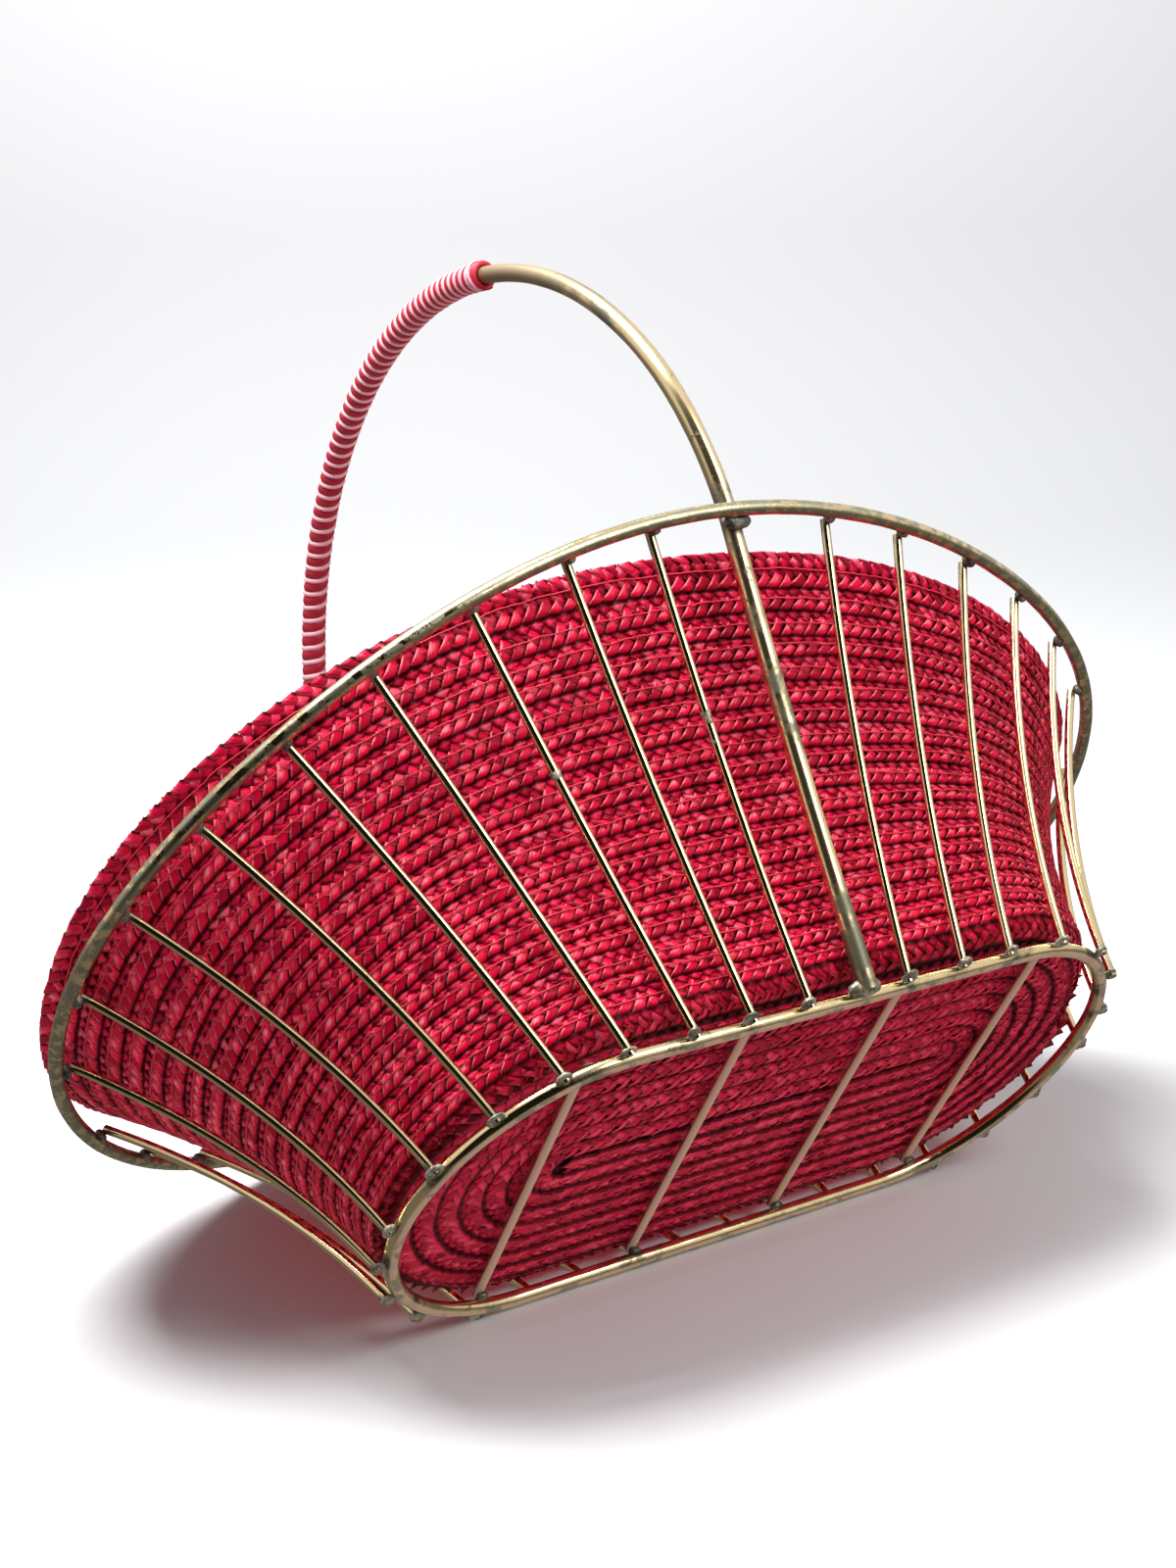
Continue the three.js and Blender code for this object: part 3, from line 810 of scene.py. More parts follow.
# Where painted shade falls on each kind of straw, as (start, full, how dark): at its ends, where it is
# crossed or lapped by others, and at the groove and heel of its row.
NOT_DARK = (0.6, 0.7, 0.0)
SCALE_ENDS = (0.40, 0.50, 0.4)
CROSSED = (0.20, 0.36, 0.75)
LAPPED = (0.16, 0.33, 0.95)
LAID_UNDER = (0.36, 0.48, 0.6)
GROOVE = (0.34, 0.45, 0.94)
HEEL = (-0.38, -0.52, 0.85)
FLOOR_GROOVE = (0.26, 0.40, 0.95)
FLOOR_HEEL = (-0.34, -0.46, 0.92)
STRAW_LOOKS = {
    "bright_straw": (RED_TONES, 0.28, SCALE_ENDS, LAPPED, NOT_DARK, HEEL, 0.75, 0.9),
    "left_straw": (LEFT_TONES, 0.36, (0.30, 0.44, 0.6), (0.34, 0.46, 0.7), GROOVE, NOT_DARK, 0.4, 0.7),
    "right_straw": (HAZY_TONES, 0.34, CROSSED, (0.34, 0.46, 0.75), GROOVE, NOT_DARK, 0.6, 1.0),
    "deep_straw": (LEFT_TONES, 0.34, CROSSED, (0.34, 0.46, 0.8), NOT_DARK, NOT_DARK, 0.3, 0.5),
    "crossing_straw": (HAZY_TONES, 0.34, CROSSED, (0.34, 0.46, 0.8), NOT_DARK, NOT_DARK, 0.6, 1.0),
    "leaf_straw": (LEFT_TONES, 0.34, (0.42, 0.50, 0.6), (0.24, 0.40, 0.95), NOT_DARK, NOT_DARK, 0.2, 0.6),
    "under_scale": (UNDER_TONES, 0.46, SCALE_ENDS, LAPPED, NOT_DARK, FLOOR_HEEL, 0.3, 0.3),
    "under_straw": (UNDER_TONES, 0.46, CROSSED, LAID_UNDER, FLOOR_GROOVE, NOT_DARK, 0.3, 0.4),
    "inner_straw": (INSIDE_TONES, 0.44, CROSSED, LAID_UNDER, NOT_DARK, NOT_DARK, 0.3),
    "shade_sheet_straw": (SHADE_SHEET_TONES, 0.8, NOT_DARK, NOT_DARK, NOT_DARK, NOT_DARK),
}
straws = {name: straw_material(name, *look) for name, look in STRAW_LOOKS.items()}


# Cage
def dress(piece, body, slot, *nodes):
    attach(piece, body)
    if nodes:
        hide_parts(*nodes)
    return piece


def wire(name, line, closed, diameter, material, joints, node, look, sides=THIN_SIDES, tarnish=0.0):
    """A wire of the cage, duller near its joints."""
    reach, uneven = look
    gaps = np.min(np.linalg.norm(line[:, None, :] - np.asarray(joints)[None, :, :], axis=2), axis=1)
    source = guide(name, [line], closed, near_joint=[np.clip(1 - gaps / reach, 0, 1)],
                   tarnish=[tarnish * np.ones(len(line))])
    piece = baked(name, source, wires, radius=diameter / 2 * 0.001, sides=sides, unevenness=uneven,
                  material=material)
    dress(piece, "cage", "brass_wire", node)


def cage_courses():
    """Every upright's course, in the order of the CAD nodes."""
    courses = []
    for start in (NEAR_LEG, NEAR_LEG + HALF_TURN):
        for foot, top in zip(UPRIGHT_FEET[1:], UPRIGHT_TOPS[1:]):
            top_share = start + top * HALF_TURN
            pull = float(bow_at(rim_line.at(top_share)[0]))
            courses.append(upright_course(start + foot * HALF_TURN, top_share,
                                          corner_radius(STAVE_WIRE, STAVE_SIDES), pull))
    return courses


def cross_reach(x):
    past = max(0.0, abs(x) - STRAIGHT)
    return math.sqrt((BASE_WIDTH / 2) ** 2 - past ** 2) + RING_WIRE / 2 - CROSS_END_INSET


courses = cage_courses()
leg, bulge, arch = handle_parts()
handle = handle_line(leg, bulge, arch)
handle_ways = np.linspace(0, ways_along(handle)[-1], len(handle))
leg_feet = [leg[0], leg[0] * HALF_TURNED]
leg_tops = [leg[3], leg[3] * HALF_TURNED]
cross_places = [(k - (CROSS_WIRES - 1) / 2) * CROSS_PITCH for k in range(CROSS_WIRES)]
cross_ends = [np.array([x, side * cross_reach(x), CROSS_CENTRE]) for x in cross_places for side in (-1, 1)]


def make_cage():
    shares = np.linspace(0, 1, RING_STEPS, endpoint=False)
    wire("foot_ring", base_line.at(shares), True, RING_WIRE, foot_brass,
         [course[0] for course in courses] + leg_feet + cross_ends, "base_ring", RING_LOOK, RING_SIDES)
    wire("rim_wire", rim_line.at(shares), True, RIM_WIRE, rim_brass,
         [course[3] for course in courses] + leg_tops, "rim_ring", RIM_LOOK, RING_SIDES)
    for number, course in enumerate(courses, 1):
        line = upright_line(course, FOOT_CLEARANCE, course[3][2] + TOP_OVERLAP)
        wire(f"upright_{number:02d}", line, False, STAVE_WIRE, wire_brass, [course[0], course[3]],
             f"stave_{number:02d}", STAVE_LOOK)
    for number, x in enumerate(cross_places, 1):
        reach = cross_reach(x) - CROSS_CUT
        across = np.linspace(-reach, reach, CROSS_STEPS)
        pressed = np.clip((-across - reach + CROSS_PRESSED) / CROSS_PRESSED, 0, 1) ** 2
        line = np.stack([np.full(CROSS_STEPS, x), across, CROSS_CENTRE - CROSS_DROP * pressed], axis=-1)
        wire(f"floor_wire_{number}", line, False, CROSS_WIRE, cross_brass, [line[0], line[-1]],
             f"cross_wire_{number}", CROSS_LOOK)
    way = handle_ways - handle_ways[-1] / 2 - WRAP_PAST_TOP
    tarnish = np.clip(1 - (way - BARE_MATT) / BARE_FADE, 0, 1) * (way > 0)
    wire("handle_rod", handle, False, HANDLE_ROD, rod_brass, leg_feet + leg_tops, "handle", ROD_LOOK,
         ROD_SIDES, tarnish)


def make_solder():
    """Lumps of solder at every joint, each as (place, along, outward, size)."""
    light, dark = [], []
    chance = np.random.default_rng(7)
    for course in courses:
        for line, end, low, size in ((base_line, course[0], True, FOOT_LUMP),
                                     (rim_line, course[3], False, TOP_LUMP)):
            nearest = line.points[np.argmin(np.linalg.norm(end - line.points, axis=1))]
            outward = unit(end - nearest)
            along = unit(np.cross(UP, outward))
            grown = np.array(size) * chance.uniform(*LUMP_PLAY, 3)
            if low:
                place = end - outward * FOOT_LUMP_IN + UP * (FOOT_LUMP_HEIGHT - end[2])
                light.append((place, along, UP, grown))
            else:
                dark.append(((end + nearest) / 2 - outward * TOP_LUMP_IN, along, outward, grown))
    for end in cross_ends:
        side = np.array([0, math.copysign(1, end[1]), 0])
        grown = np.array(CROSS_LUMP) * chance.uniform(*CROSS_PLAY, 3)
        dark.append((end - side * CROSS_LUMP_IN - UP * CROSS_LUMP_DOWN, ALONG_X, UP, grown))
    for number, height, size in REPAIRS:
        course = courses[number]
        along = unit(course[3] - course[0])
        light.append((bezier(course, np.array([height]))[0], along, unit(np.cross(along, ALONG_X)), size))
    for foot, top in zip(leg_feet, leg_tops):
        side = np.array([0, math.copysign(1, foot[1]), 0])
        light.append((foot - side * LEG_FOOT_IN, ALONG_X, side, LEG_FOOT_LUMP))
        dark.append((top + side * LEG_TOP_OUT - UP * LEG_TOP_DOWN, ALONG_X, side, LEG_TOP_LUMP))
    for name, group, material in (("foot_solder", light, joint_solder), ("top_solder", dark, dark_solder)):
        places, along, outward, size = (np.array(values) for values in zip(*group))
        source = guide(name, [places], False, along=[along], outward=[outward], size=[metres(size)])
        dress(baked(name, source, lumps, material=material), "cage", "brass_wire")


# Handle wrap
def cord_places(start, end, first_pitch, last_pitch, closing):
    """Ways along the rod, turns and pitches of a winding whose pitch closes up over its last stretch."""
    way = np.linspace(start, end, 6000)
    closed = np.clip((way - (way[-1] - closing)) / closing, 0, 1)
    pitch = first_pitch + (last_pitch - first_pitch) * closed
    turns = np.concatenate([[0], np.cumsum(np.diff(way) / pitch[:-1])])
    even_turns = np.linspace(0, turns[-1], int(turns[-1] * WRAP_STEPS))
    return np.interp(even_turns, turns, way), even_turns, np.interp(even_turns, turns, pitch)


def winding(name, places, phase, half_width, half_height, lift, material, *nodes):
    """One cord wound round the handle, its width a share of the local pitch."""
    here, turned, pitch = places
    centre = places_on(handle, handle_ways, here)
    along = unit(np.gradient(centre, axis=0))
    outer = unit(np.cross(ALONG_X, along))
    angle = 2 * math.pi * (turned + phase)
    radial = outer * np.cos(angle)[:, None] + ALONG_X * np.sin(angle)[:, None]
    radial = unit(radial - along * np.sum(radial * along, axis=1)[:, None])
    play = np.random.default_rng(5).normal(0, 1, len(here))
    play = np.convolve(play, np.ones(9) / 9, "same")[:, None]
    middle = centre + radial * (HANDLE_ROD / 2 + lift + CORD_PLAY * play) + along * CORD_DRIFT * play
    travel = unit(np.gradient(middle, axis=0))
    across = unit(np.cross(travel, radial))
    out = np.cross(across, travel)
    sides = np.linspace(0, 2 * math.pi, WRAP_SIDES, endpoint=False)
    wide = (half_width * pitch)[:, None] * np.cos(sides)
    rings = (middle[:, None, :] + across[:, None, :] * wide[..., None]
             + out[:, None, :] * (half_height * np.sin(sides))[None, :, None])
    piece = skin(name, rings, material)
    set_numbers(piece.data, "around_wire", np.tile(sides / (2 * math.pi), len(here)))
    set_numbers(piece.data, "along_wire", np.repeat(turned * CORD_PER_TURN, WRAP_SIDES))
    dress(piece, "cage", "red_cord", *nodes)


def make_wrap():
    """The red cord, the pale one between its turns, the closing loops and the strand tied over them."""
    start = ways_along(bezier(leg, np.linspace(0, 1, 200)))[-1] + WRAP_ABOVE_RIM
    end = handle_ways[-1] / 2 + WRAP_PAST_TOP
    places = cord_places(start, end, WRAP_FAR_PITCH, WRAP_END_PITCH, WRAP_CLOSING + WRAP_PAST_TOP)
    last = cord_places(end - 0.8, end + 2.4, 1.7, 1.7, 1.0)
    tied = cord_places(end - 3.4, end + 1.8, 8.0, 8.0, 1.0)
    winding("red_winding", places, 0.0, 0.36, 0.80, 0.75, red_cord, "handle_wrap")
    winding("pale_winding", places, 0.5, 0.17, 0.72, 0.98, pale_cord)
    winding("last_loops", last, 0.2, 0.46, 0.85, 0.95, end_cord)
    winding("tied_strand", tied, 0.30, 0.07, 0.45, 1.9, pale_cord)


# Liner
def liner_oval(grow, height):
    half_width = BASE_WIDTH / 2 + LINER_SIDE_OVERHANG + grow
    return Loop(stadium_points(BASE_LENGTH / 2 + grow - half_width, half_width, height))


def edge_height(along):
    return RIM_CENTRE + LINER_EDGE_ABOVE_RIM - LINER_EDGE_DIP * along ** 2 - LINER_EDGE_TILT * along


CAGE_RIM = RIM_WIRE / 2 + STAVE_WIRE
liner_foot = liner_oval(0, LINER_UNDERSIDE + LINER_CORNER)
liner_edge = Loop(oval_points(
    RIM_LENGTH / 2 - CAGE_RIM + LINER_END_FLARE, RIM_WIDTH / 2 - CAGE_RIM - LINER_SIDE_GAP, LINER_EDGE_POWER,
    LINER_EDGE_SHIFT, edge_height))


def wall_points(shares, heights, offset=0.0):
    """Places on the liner's wall at heights from 0 at its foot to 1 at its edge, moved out by an offset."""
    heights = np.broadcast_to(heights, shares.shape)
    high = liner_edge.at(shares)
    course = bowed_course(liner_foot.at(shares), high, bow_at(high[..., 0]) + LINER_BOW)
    outer = liner_edge.outwards(shares)
    return bezier(course, heights) + outer * np.broadcast_to(offset, heights.shape)[..., None]


def wall_frame(shares, heights):
    """The wall's directions at a place: along the row, square out of the wall and up it."""
    small = 1e-3
    along = unit(wall_points(shares + small, heights) - wall_points(shares - small, heights))
    rise = wall_points(shares, heights + small) - wall_points(shares, heights - small)
    return along, unit(np.cross(along, rise)), unit(rise)


def straw_shape(name, place, middle=0.5, across=4, along=4):
    """A thin piece of straw: a closed skin over a grid of places. One UV map follows its fibres and one
    gives the height in its row, whose middle there is given.

    place gives x in pitches, y in rows and z in millimetres for shares (u, v) across and along the straw."""
    columns = across + 1
    grid = [(i / across, j / along) for j in range(along + 1) for i in range(columns)]
    faces = [(j * columns + i, j * columns + i + 1, (j + 1) * columns + i + 1, (j + 1) * columns + i)
             for j in range(along) for i in range(across)]
    border = list(range(columns)) + [j * columns + across for j in range(1, along + 1)]
    border += [along * columns + i for i in range(across - 1, -1, -1)]
    border += [j * columns for j in range(along - 1, 0, -1)]
    mesh = bpy.data.meshes.new(name)
    mesh.from_pydata([place(u, v) for u, v in grid], [], faces + [tuple(border[::-1])])
    for layer in ("fibre", "row"):
        mesh.uv_layers.new(name=layer)
    for loop in mesh.loops:
        mesh.uv_layers["fibre"].data[loop.index].uv = grid[loop.vertex_index]
        mesh.uv_layers["row"].data[loop.index].uv = (0.0, middle + mesh.vertices[loop.vertex_index].co.y)
    recalculate(mesh)
    for number, face in enumerate(mesh.polygons):
        face.use_smooth = number < len(faces)
    return placed(name, mesh)


def scale_place(u, v):
    """A scale of a row's lower edge: it leans right, rolls under at its foot and goes under at its top."""
    start = SCALE_WIDE * u - SCALE_START
    reach = v * (SCALE_LONG + TUCK - LEFT_WIDE * start / STRAW_PITCH)
    x = start + RIGHT_WAY[0] * reach
    y = RIGHT_WAY[1] * reach - SCALE_DROP
    rolled = max(0.0, 1 - (y + SCALE_DROP) / SCALE_ROLL)
    free = min(1.0, 0.2 + (y + SCALE_DROP) / 1.4)
    z = 0.30 - 1.15 * rolled ** 2 + free * (0.30 - 0.64 * u) - 0.10 * (2 * u - 1) ** 2
    z -= 0.6 * max(0.0, (v - 0.82) / 0.18) ** 2
    return x / STRAW_PITCH - SCALE_COLUMN[1], y / BRAID_PITCH - SCALE_COLUMN[0], z


def flake_place(way, side, long, wide):
    """A straw that comes up between two others, and goes under them at both its ends."""
    def place(u, v):
        run = (long + 2 * TUCK) * (v - 0.5)
        off = 1.16 * wide * (u - 0.5)
        z = 0.24 - 0.14 * (2 * u - 1) ** 2 - 0.18 * (u - 0.5)
        z -= 0.6 * max(0.0, abs(2 * v - 1) - 0.4) ** 2 / 0.36
        return (run * way[0] + off * side[0]) / STRAW_PITCH, (run * way[1] + off * side[1]) / BRAID_PITCH, z
    return place


def leaf_place(u, v):
    """A folded straw of the liner's edge: it widens up the outer side, then goes over and down inside."""
    up = min(1.0, v / 0.5)
    fold = max(0.0, (v - 0.5) / 0.5)
    angle = math.pi * fold
    left = LEAF_LEFT * (1 - up ** 0.8)
    right = LEAF_RIGHT - up
    x = left + (right - left) * u - LEAF_RIGHT / 2 - 1.2 * fold
    proud = 1.0 + 0.30 * (1 - (2 * u - 1) ** 2) + 0.50 * (1 - u) - 0.5 * max(0.0, 1 - v / 0.15)
    rise = -LEAF_FOOT + LEAF_RISE * up + 0.6 * u * (1 - up) + 0.8 * math.sin(angle)
    return x / EDGE_PITCH, -proud * math.cos(angle), rise - 1.2 * max(0.0, fold - 0.5)


def row_edge(row, shares):
    """The height of a row's lower edge round the wall, wavering as hand sewing does."""
    if row == 0:
        return np.zeros_like(shares)
    slow = np.sin(2 * math.pi * (3 * shares + 0.37 * row)) + np.sin(2 * math.pi * (7 * shares + 0.61 * row))
    return (row + ROW_WAVER * (0.6 * slow + math.sin(2.3 * row))) / ALL_ROWS


def even_shares(height, pitch, shift=0.0):
    """Shares round the wall at a height, a pitch apart along it and moved on by some pitches."""
    fine = np.linspace(0, 1, 1441)
    ways = ways_along(wall_points(fine, height))
    count = round(ways[-1] / pitch)
    shares = np.interp(np.arange(count) * ways[-1] / count, ways, fine)
    return shares + shift * np.diff(np.append(shares, shares[0] + 1))


def round_steps(line):
    """The length of every step of a closed line."""
    return np.linalg.norm(np.diff(line, axis=0, append=line[:1]), axis=1)


def laid_straws(name, lines, closed, straw, seed, look, play, pitch, height, crown, **ways):
    """Straws laid on the points of some lines, with their pitches, heights and crowns for each line."""
    sizes = {key: [metres(value) * np.ones(len(line)) for value, line in zip(values, lines)]
             for key, values in (("pitch", pitch), ("height", height), ("crown", crown))}
    source = guide(name, lines, closed, **sizes, **ways)
    return baked(name, source, plait, False, straw=straw, size_play=play, seed=seed, material=straws[look])


def wall_piece(name, rows, seed, side, straw, look, play, column, offset, crown, tilt=0.0, pitch=LAID_PITCH,
               tall=1.0):
    """A column of straws on some of the wall's rows, on its outer side (side 1) or inner side (side -1)."""
    middle, shift = column
    base = offset if side > 0 else -LINER_WALL + 0.35 - 0.35 * offset
    lines, along, outward, steps, heights = [], [], [], [], []
    for row in rows:
        shares = even_shares((row + middle) / ALL_ROWS, pitch, shift)
        low = row_edge(row, shares)
        span = (row_edge(row + 1, shares) if row < PLAIT_ROWS else low + 1 / ALL_ROWS) - low
        place, half = low + middle * span, tall * span / 2
        way, normal, up = wall_frame(shares, place)
        lines.append(wall_points(shares, place, base))
        along.append(way * side)
        outward.append(unit(normal * side + up * tilt))
        steps.append(round_steps(lines[-1]))
        tall_way = wall_points(shares, place + half) - wall_points(shares, place - half)
        heights.append(np.linalg.norm(tall_way, axis=1))
    crowns = [crown * (1.0 if side > 0 else 0.7)] * len(lines)
    return laid_straws(name, lines, True, straw, seed, look, play, steps, heights, crowns, along=along,
                       outward=outward)


def make_backing():
    """The sheet of sewn braid under the straws, near-black as painted shade in the gaps between them:
    floor, corner, wall, edge and the same inside.
    """
    shares = np.linspace(0, 1, SHEET_STEPS, endpoint=False)
    floor = np.linspace(-50.0, -LINER_FLOOR_INSET, 8)
    wall = np.linspace(0, 1, SHEET_RINGS)

    def flat(height):
        return [liner_oval(grow, LINER_UNDERSIDE + height).at(shares) for grow in floor]

    corner = liner_oval(-LINER_FLOOR_INSET / 2, LINER_UNDERSIDE + LINER_CORNER / 3 + SHEET_INSET)
    rings = flat(SHEET_INSET + 0.7) + [corner.at(shares)]
    rings += [wall_points(shares, height, -SHEET_INSET - 0.65) for height in wall]
    rings += [wall_points(shares, height, -LINER_WALL + SHEET_INNER_INSET) for height in wall[::-1]]
    rings += flat(LINER_WALL - SHEET_INNER_INSET)[::-1]
    piece = skin("braid_backing", np.array(rings), straws["shade_sheet_straw"])
    dress(piece, "liner", "red_straw", "straw_liner")


floor_shape = Loop(stadium_points(STRAIGHT, BASE_WIDTH / 4, 0.0))


def spiral(turns, start_width):
    """Places on the floor's spiral after some turns from outside, where it has its start width."""
    place = floor_shape.at(turns)
    centre = np.stack([np.clip(place[:, 0], -STRAIGHT, STRAIGHT), turns * 0, turns * 0], axis=-1)
    return centre + (place - centre) * ((start_width - BRAID_PITCH * turns) / (BASE_WIDTH / 4))[:, None]


def floor_piece(name, seed, side, straw, look, column, sunk, crown, pitch=LAID_PITCH, tall=1.0):
    """A column of straws on the floor: side -1 faces down, side 1 faces up."""
    middle, shift = column
    outermost = BASE_WIDTH / 2 + LINER_SIDE_OVERHANG - (3.4 if side < 0 else 2.2)
    fine = np.linspace(0, (outermost - BRAID_PITCH / 2 - 1.35) / BRAID_PITCH, SPIRAL_STEPS)
    ways = ways_along(spiral(fine, outermost - BRAID_PITCH / 2))
    turns = np.interp(np.arange(shift * pitch, ways[-1], pitch), ways, fine)
    line = spiral(turns, outermost - BRAID_PITCH * (1 - middle))
    step = np.gradient(line, axis=0)
    line[:, 2] = LINER_UNDERSIDE + (sunk if side < 0 else LINER_WALL - sunk)
    outward = unit(UP * side + np.cross(unit(step), UP) * (FLOOR_TILT if side < 0 else 0.0))
    return laid_straws(name, [line], False, straw, seed, look, 0.10, [np.linalg.norm(step, axis=1)],
                       [BRAID_PITCH * tall], [crown], along=[unit(step) * -side], outward=[outward])


def corner_piece(name, seed, straw, look, column):
    """A column of the row that turns the corner between the floor and the wall."""
    middle, shift = column
    shares = even_shares(0.0, LAID_PITCH, shift)
    loop = liner_oval(-LINER_FLOOR_INSET * (1 - middle) ** 1.6,
                      LINER_UNDERSIDE + 0.5 + (LINER_CORNER - 0.5) * middle ** 1.8)
    slope = math.radians(CORNER_SLANT + CORNER_TURN * middle)
    outward = unit(loop.outwards(shares) * math.sin(slope) - UP * math.cos(slope))
    line = loop.at(shares) - outward * CORNER_SUNK
    return laid_straws(name, [line], True, straw, seed, look, 0.08, [round_steps(line)], [CORNER_TALL], [0.9],
                       along=[loop.along(shares)], outward=[outward])


def edge_piece(straw):
    """The folded straws that run over the liner's edge."""
    shares = even_shares(1.0, EDGE_PITCH)
    line = wall_points(shares, 1.0, -LINER_WALL / 2)
    way, _, up = wall_frame(shares, 0.998)
    return laid_straws("edge_straws", [line - up * 0.4], True, straw, 60, "leaf_straw", 0.05,
                       [round_steps(line)], [1.0], [1.0], along=[way], outward=[up])


def thread_piece():
    """The thread that sews each row to the next, seen along the row."""
    chance = np.random.default_rng(11)
    shares = np.linspace(0, 1, THREAD_STEPS, endpoint=False)
    lines = []
    for row in range(PLAIT_ROWS + 1):
        height = THREAD_HEIGHT if row < PLAIT_ROWS else TOP_THREAD_HEIGHT
        heights = row_edge(row, shares) + height / ALL_ROWS
        rough = np.convolve(chance.normal(0, 1, len(shares) + 4), np.ones(5) / 5, "valid")
        lines.append(wall_points(shares, heights + THREAD_WAVER * rough, THREAD_PROUD + THREAD_PLAY * rough))
    source = guide("wall_thread", lines, True)
    return baked("wall_thread", source, wires, radius=THREAD_RADIUS, sides=4, unevenness=THREAD_UNEVEN,
                 material=sewing_thread)


def make_liner():
    scale = straw_shape("straw_scale", scale_place, SCALE_COLUMN[0], 4, 6)
    left = straw_shape("straw_left", flake_place(LEFT_WAY, RIGHT_WAY, RIGHT_WIDE + LEFT_LONGER, LEFT_WIDE),
                       LEFT_COLUMN[0], 2, 6)
    across_right = (-LEFT_WAY[0], -LEFT_WAY[1])
    right = straw_shape("straw_right", flake_place(RIGHT_WAY, across_right, LEFT_WIDE, RIGHT_WIDE),
                        RIGHT_COLUMN[0], 2, 6)
    leaf = straw_shape("straw_leaf", leaf_place, 0.5, 3, 9)
    inner = (INNER_PITCH, INNER_TALL)
    half = PLAIT_ROWS // 2
    whole_rows = (
        ("scales", 1, scale, "bright_straw", 0.10, SCALE_COLUMN, 0.10, 1.0, 0.10),
        ("left_straws", 1, left, "left_straw", 0.10, LEFT_COLUMN, -0.02, 0.9, 0.22),
        ("right_straws", 1, right, "right_straw", 0.12, RIGHT_COLUMN, -0.24, 0.9, 0.26),
        ("inside_right", -1, right, "inner_straw", 0.08, INNER_LOW, 0.0, 1.0, 0.0, *inner),
        ("inside_left", -1, left, "inner_straw", 0.08, INNER_HIGH, -0.2, 1.0, 0.0, *inner),
    )
    top_left = (0.65, LEFT_COLUMN[1])
    top_right = (0.98, RIGHT_COLUMN[1])
    top_row = (
        ("scales", 1, scale, "bright_straw", 0.08, SCALE_COLUMN, 0.10, 1.0, 0.08),
        ("left", 1, left, "deep_straw", 0.08, top_left, 0.0, 0.9, 0.06, LAID_PITCH, 1.35),
        ("right", 1, right, "crossing_straw", 0.08, top_right, 0.36, 0.9, 0.05, LAID_PITCH, 1.15),
        ("inside", -1, right, "inner_straw", 0.08, (0.62, 0.0), 0.0, 1.0, 0.0, INNER_PITCH, 2.4),
    )
    zones = (("low_wall", range(half), 10, whole_rows),
             ("high_wall", range(half, PLAIT_ROWS), 20, whole_rows),
             ("top_row", [PLAIT_ROWS], 30, top_row))
    floor = (
        ("floor_scales", -1, scale, "under_scale", SCALE_COLUMN, 0.50, 0.8),
        ("floor_left", -1, left, "under_straw", LEFT_COLUMN, 0.60, 0.8),
        ("floor_right", -1, right, "under_straw", RIGHT_COLUMN, 0.80, 0.8),
        ("inside_floor_right", 1, right, "inner_straw", INNER_LOW, 0.35, 0.6, *inner),
        ("inside_floor_left", 1, left, "inner_straw", INNER_HIGH, 0.35, 0.6, *inner),
    )
    corner = (("corner_scales", scale, "under_scale", SCALE_COLUMN),
              ("corner_left", left, "under_straw", LEFT_COLUMN),
              ("corner_right", right, "under_straw", RIGHT_COLUMN))
    made = [wall_piece(f"{zone}_{name}", rows, seed + k, *column)
            for zone, rows, seed, columns in zones for k, (name, *column) in enumerate(columns)]
    made += [floor_piece(name, 40 + k, *column) for k, (name, *column) in enumerate(floor)]
    made += [corner_piece(name, 50 + k, *column) for k, (name, *column) in enumerate(corner)]
    made += [edge_piece(leaf), thread_piece()]
    for straw in (scale, left, right, leaf):
        bpy.data.objects.remove(straw)
    for piece in made:
        dress(piece, "liner", "red_straw")
    make_backing()


# Stage: the basket lies tipped on its far long side, on white paper that sweeps up behind it
CAMERA_PLACE = (-334.0, -427.5, -225.1)
CAMERA_TURN = (127.48, 28.07, -19.206)
LENS = 51.53
SENSOR = 36.0
PAPER_NORMAL = unit([0.0, -0.8371, 0.5471])
PAPER_TOUCH = np.array([0.0, 52.5, 0.6])
PAPER_FLAT = 330.0
PAPER_BEND = 260.0
PAPER_TALL = 2200.0
PAPER_HALF_WIDTH = 2400.0
PAPER_NEAR = -1500.0
LIT_MIDDLE = (0, 0, 110)


def make_camera():
    data = bpy.data.cameras.new("camera")
    data.lens = LENS
    data.sensor_width = SENSOR
    data.clip_start, data.clip_end = 0.01, 20.0
    camera = placed("camera", data)
    camera.location = metres(CAMERA_PLACE)
    camera.rotation_euler = [math.radians(a) for a in CAMERA_TURN]
    bpy.context.scene.camera = camera
    turn = np.array(camera.rotation_euler.to_matrix())
    return turn[:, 0], -turn[:, 2]


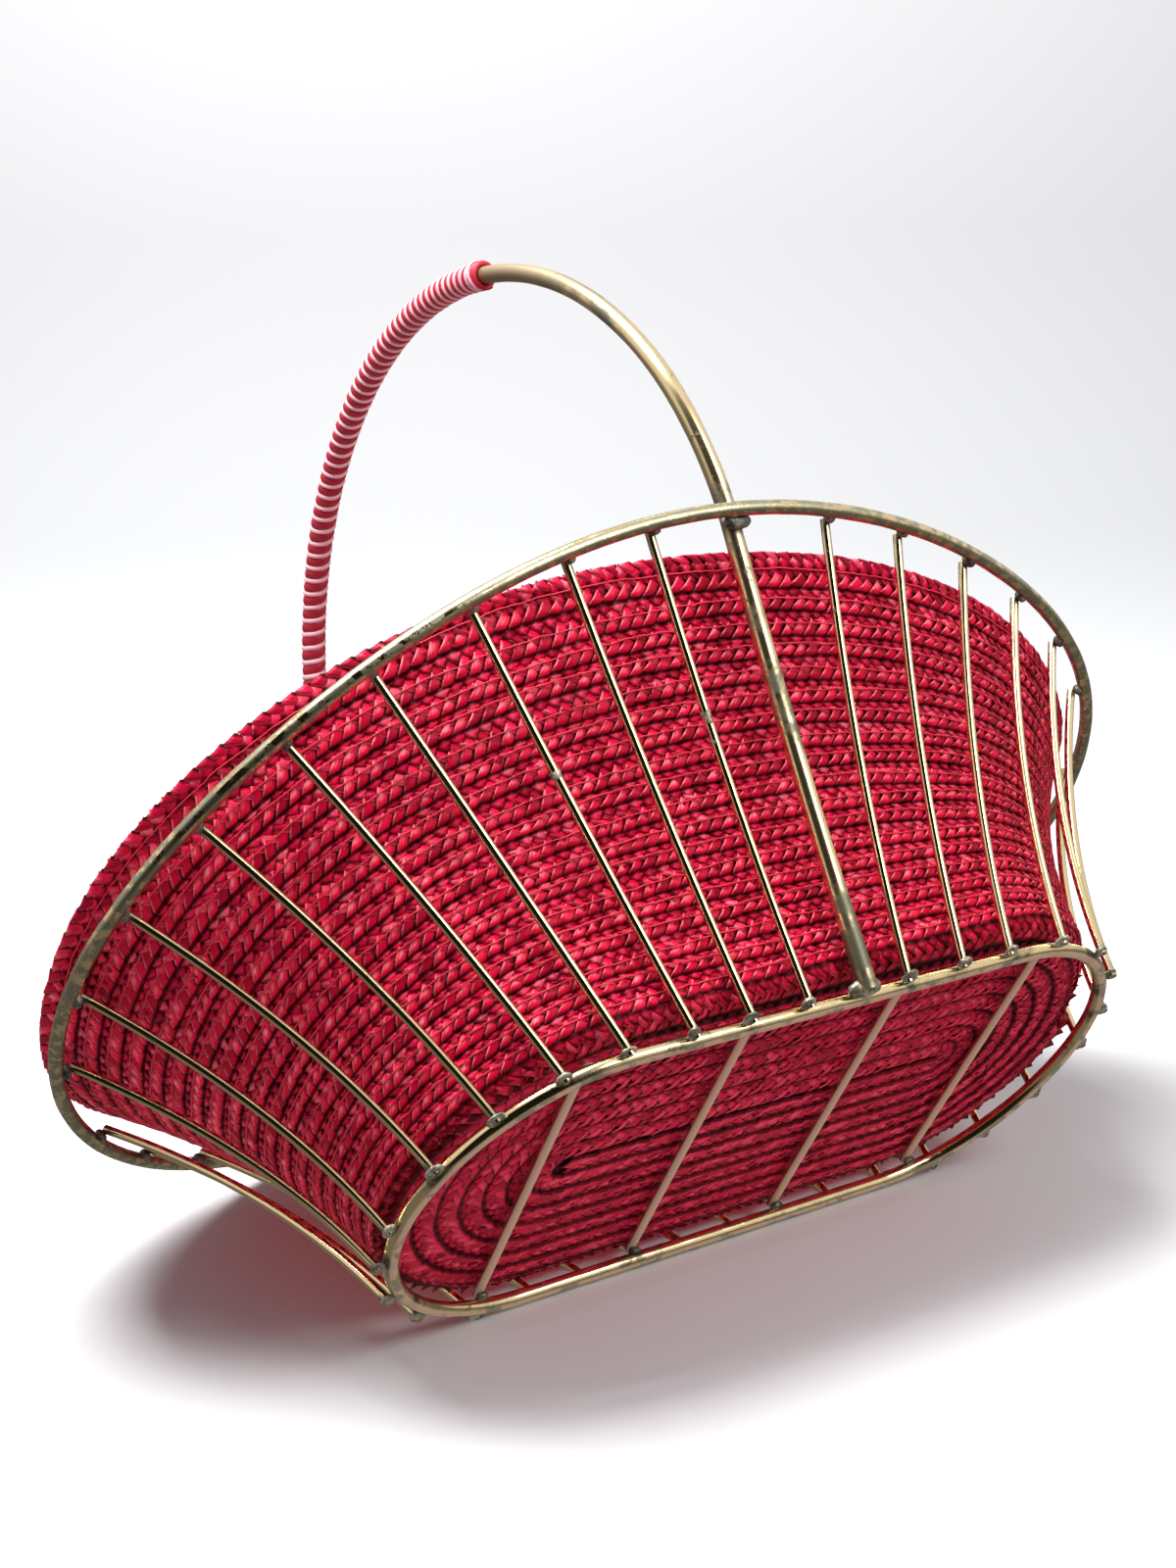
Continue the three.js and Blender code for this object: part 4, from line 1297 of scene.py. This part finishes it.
def make_paper(right, view):
    """White paper, flat under the basket and swept up behind it, with painted shade on its swept-up part,
    seen by the camera from its front.
    """
    across = unit(right - PAPER_NORMAL * np.dot(right, PAPER_NORMAL))
    away = unit(view - PAPER_NORMAL * np.dot(view, PAPER_NORMAL))
    profile = [(PAPER_NEAR, 0.0)] + [(d, 0.0) for d in np.linspace(-600, PAPER_FLAT, 12)]
    profile += [(PAPER_FLAT + PAPER_BEND * math.sin(a), PAPER_BEND - PAPER_BEND * math.cos(a))
                for a in np.linspace(0.1, math.pi / 2, 16)]
    profile.append((PAPER_FLAT + PAPER_BEND, PAPER_TALL))
    points = [PAPER_TOUCH + across * side * PAPER_HALF_WIDTH + away * d + PAPER_NORMAL * h
              for d, h in profile for side in (-1, 1)]
    faces = [(2 * i, 2 * i + 1, 2 * i + 3, 2 * i + 2) for i in range(len(profile) - 1)]
    paper = new_mesh("paper", points, faces)
    material, net = new_material("white_paper")
    net.tree.nodes.remove(net.tree.nodes["Principled BSDF"])
    # Painted shade: the paper darkens where it sweeps up, as if less light reached it.
    swept = net.ease(net.vector("DOT_PRODUCT", net.place(), tuple(PAPER_NORMAL)), -0.04, 0.08)
    white = net.add("ShaderNodeBsdfDiffuse",
                    {"Color": net.blend(swept, (0.77, 0.777, 0.785), (0.57, 0.578, 0.586))})
    back = net.add("ShaderNodeNewGeometry", output="Backfacing")
    one_sided = net.add("ShaderNodeMixShader", {0: back, 1: white, 2: net.add("ShaderNodeBsdfTransparent")})
    net.join(one_sided, net.tree.nodes["Material Output"].inputs["Surface"])
    paper.data.materials.append(material)
    if np.dot(np.array(paper.data.polygons[0].normal), PAPER_NORMAL) < 0:
        paper.data.flip_normals()
    for ray in ("diffuse", "glossy", "transmission", "shadow"):
        setattr(paper, "visible_" + ray, False)


def make_lamp(name, direction, distance, size, watts):
    data = bpy.data.lights.new(name, "AREA")
    data.shape = "RECTANGLE"
    data.size, data.size_y = size
    data.energy = watts
    lamp = placed(name, data)
    middle = Vector(metres(LIT_MIDDLE))
    lamp.location = middle + Vector(unit(direction)) * distance
    lamp.rotation_mode = "QUATERNION"
    lamp.rotation_quaternion = (middle - lamp.location).to_track_quat("-Z", "Y")


def make_world(view):
    """A white tent all round, with the dark room behind the camera for the metal to mirror."""
    world = bpy.data.worlds.new("tent")
    bpy.context.scene.world = world
    world.use_nodes = True
    net = Nodes(world.node_tree)
    way = net.add("ShaderNodeTexCoord", output="Generated")
    room = net.ease(net.vector("DOT_PRODUCT", way, tuple(-view)), 0.57, 0.76)
    height = net.ramp(net.vector("DOT_PRODUCT", way, tuple(PAPER_NORMAL)), -1.0, 1.0)
    sky = net.colours(height, ((0.0, (0.20, 0.19, 0.18)), (0.45, (0.18, 0.17, 0.16)),
                               (0.60, (0.86, 0.85, 0.83)), (1.0, (0.98, 0.98, 0.98))))
    ambient = net.colours(height, ((0.40, (0.74, 0.72, 0.73)), (0.62, (0.27, 0.275, 0.29))))
    mirrored = net.blend(room, sky, (0.01, 0.009, 0.008))
    lit = net.blend(net.add("ShaderNodeLightPath", output="Is Glossy Ray"), ambient, mirrored)
    seen = net.blend(net.add("ShaderNodeLightPath", output="Is Camera Ray"), lit, (0.93, 0.935, 0.94))
    net.join(seen, world.node_tree.nodes["Background"].inputs["Color"])


make_cage()
make_solder()
make_wrap()
make_liner()
right_way, view_way = make_camera()
make_paper(right_way, view_way)
make_lamp("overhead", PAPER_NORMAL * 1.0 - right_way * 0.28 - view_way * 0.04, 0.75, (0.45, 0.4), 12.4)
make_lamp("side", right_way * 0.70 + PAPER_NORMAL * 0.56 - view_way * 0.48, 0.85, (0.4, 0.4), 3.2)
make_world(view_way)
bpy.context.scene.view_settings.view_transform = "Standard"
